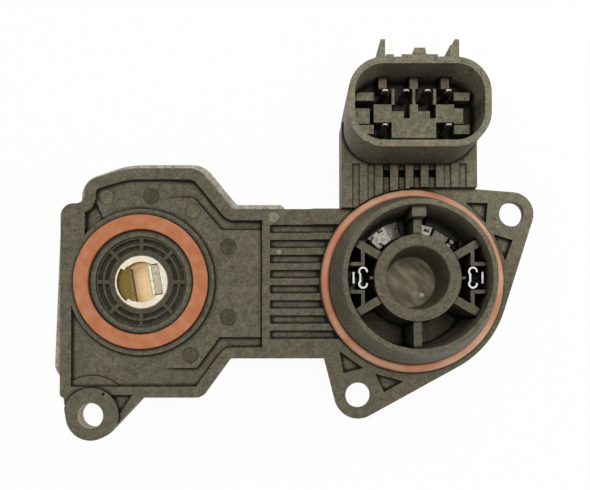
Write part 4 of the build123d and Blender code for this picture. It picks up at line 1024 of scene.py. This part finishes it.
class COVER_OT_stage(bpy.types.Operator):
    """Sets the white floor, the soft light and the camera"""

    bl_idname = "throttle_cover.stage"
    bl_label = "Stage"

    def lay_paper(self, setting):
        """White paper under the cover, which keeps the cover's shadow."""
        paper = bpy.data.materials.new("white_paper")
        paper.use_nodes = True
        tree = paper.node_tree
        tree.nodes.clear()
        share = add_node(
            tree, "ShaderNodeMath", {0: seen_directly(tree), 1: setting.floor_white}, operation="MULTIPLY"
        )
        matt = add_node(tree, "ShaderNodeBsdfDiffuse", {"Color": setting.paper})
        white = add_node(tree, "ShaderNodeEmission", {"Color": (1, 1, 1, 1), "Strength": 1.0})
        mix = add_node(tree, "ShaderNodeMixShader", {0: share, 1: matt, 2: white})
        add_node(tree, "ShaderNodeOutputMaterial", {"Surface": mix})
        sheet = bmesh.new()
        place = Matrix.Translation((0, 0, cad_box[0].z - FLOOR_GAP))
        bmesh.ops.create_grid(sheet, x_segments=1, y_segments=1, size=FLOOR_HALF, matrix=place)
        made_piece("floor", sheet, paper)

    def light_world(self, scene, setting):
        """Even light all round, which looks plain white to the camera and in reflections."""
        world = bpy.data.worlds.new("studio")
        world.use_nodes = True
        scene.world = world
        tree = world.node_tree
        tree.nodes.clear()
        even = add_node(tree, "ShaderNodeBackground", {"Color": setting.sky_colour, "Strength": setting.sky})
        plain = add_node(tree, "ShaderNodeBackground", {"Color": (1, 1, 1, 1), "Strength": 1.0})
        mix = add_node(tree, "ShaderNodeMixShader", {0: seen_directly(tree), 1: even, 2: plain})
        add_node(tree, "ShaderNodeOutputWorld", {"Surface": mix})

    def hang_lamp(self, scene, setting):
        """Soft lamp above the cover. It isn't seen in reflections, so metal shows about its own colour."""
        centre = (cad_box[0] + cad_box[1]) / 2
        light = bpy.data.lights.new("overhead", "AREA")
        light.shape = "RECTANGLE"
        light.size, light.size_y = setting.lamp_size
        light.energy = setting.lamp
        light.color = setting.lamp_colour[:3]
        lamp = bpy.data.objects.new("overhead", light)
        lamp.location = centre + Vector(setting.lamp_offset)
        lamp.visible_camera = False
        lamp.visible_glossy = False
        lamp.rotation_mode = "QUATERNION"
        lamp.rotation_quaternion = (centre - lamp.location).to_track_quat("-Z", "Y")
        scene.collection.objects.link(lamp)

    def place_camera(self, scene, setting):
        """Camera at the photograph's viewing angle."""
        eye = bpy.data.cameras.new("photo_view")
        eye.sensor_width = 36.0
        eye.lens = setting.camera_lens
        eye.shift_y = setting.camera_shift
        eye.clip_start = 0.01
        camera = bpy.data.objects.new("photo_view", eye)
        camera.location = setting.camera_place
        camera.rotation_euler = setting.camera_turn
        scene.collection.objects.link(camera)
        scene.camera = camera

    def execute(self, context):
        scene = context.scene
        scene.view_settings.view_transform = "Standard"
        self.lay_paper(scene.cover_stage)
        self.light_world(scene, scene.cover_stage)
        self.hang_lamp(scene, scene.cover_stage)
        self.place_camera(scene, scene.cover_stage)
        return {"FINISHED"}


class COVER_PT_looks(bpy.types.Panel):
    """Lists the steps that dress the cover"""

    bl_idname = "COVER_PT_looks"
    bl_label = "Throttle cover"
    bl_space_type = "VIEW_3D"
    bl_region_type = "UI"
    bl_category = "Throttle cover"

    def draw(self, context):
        for step in STEPS:
            self.layout.operator(step.bl_idname)


STEPS = (
    COVER_OT_mouldings, COVER_OT_metalwork, COVER_OT_leaf_fold, COVER_OT_flat_seal, COVER_OT_ring_seal,
    COVER_OT_motor_contacts, COVER_OT_mould_marks, COVER_OT_cup_floor, COVER_OT_track_board, COVER_OT_stage,
)
GROUPS = {"cover_sizes": CoverSizes, "cover_colours": CoverColours, "cover_stage": StageSettings}


def register():
    for kind in (*GROUPS.values(), *STEPS, COVER_PT_looks):
        bpy.utils.register_class(kind)
    for name, kind in GROUPS.items():
        setattr(bpy.types.Scene, name, PointerProperty(type=kind))


def unregister():
    for name in GROUPS:
        delattr(bpy.types.Scene, name)
    for kind in (COVER_PT_looks, *reversed(STEPS), *reversed(GROUPS.values())):
        bpy.utils.unregister_class(kind)


def main():
    register()
    for step in STEPS:
        family, name = step.bl_idname.split(".")
        getattr(getattr(bpy.ops, family), name)()
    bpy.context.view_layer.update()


if __name__ == "__main__":
    main()
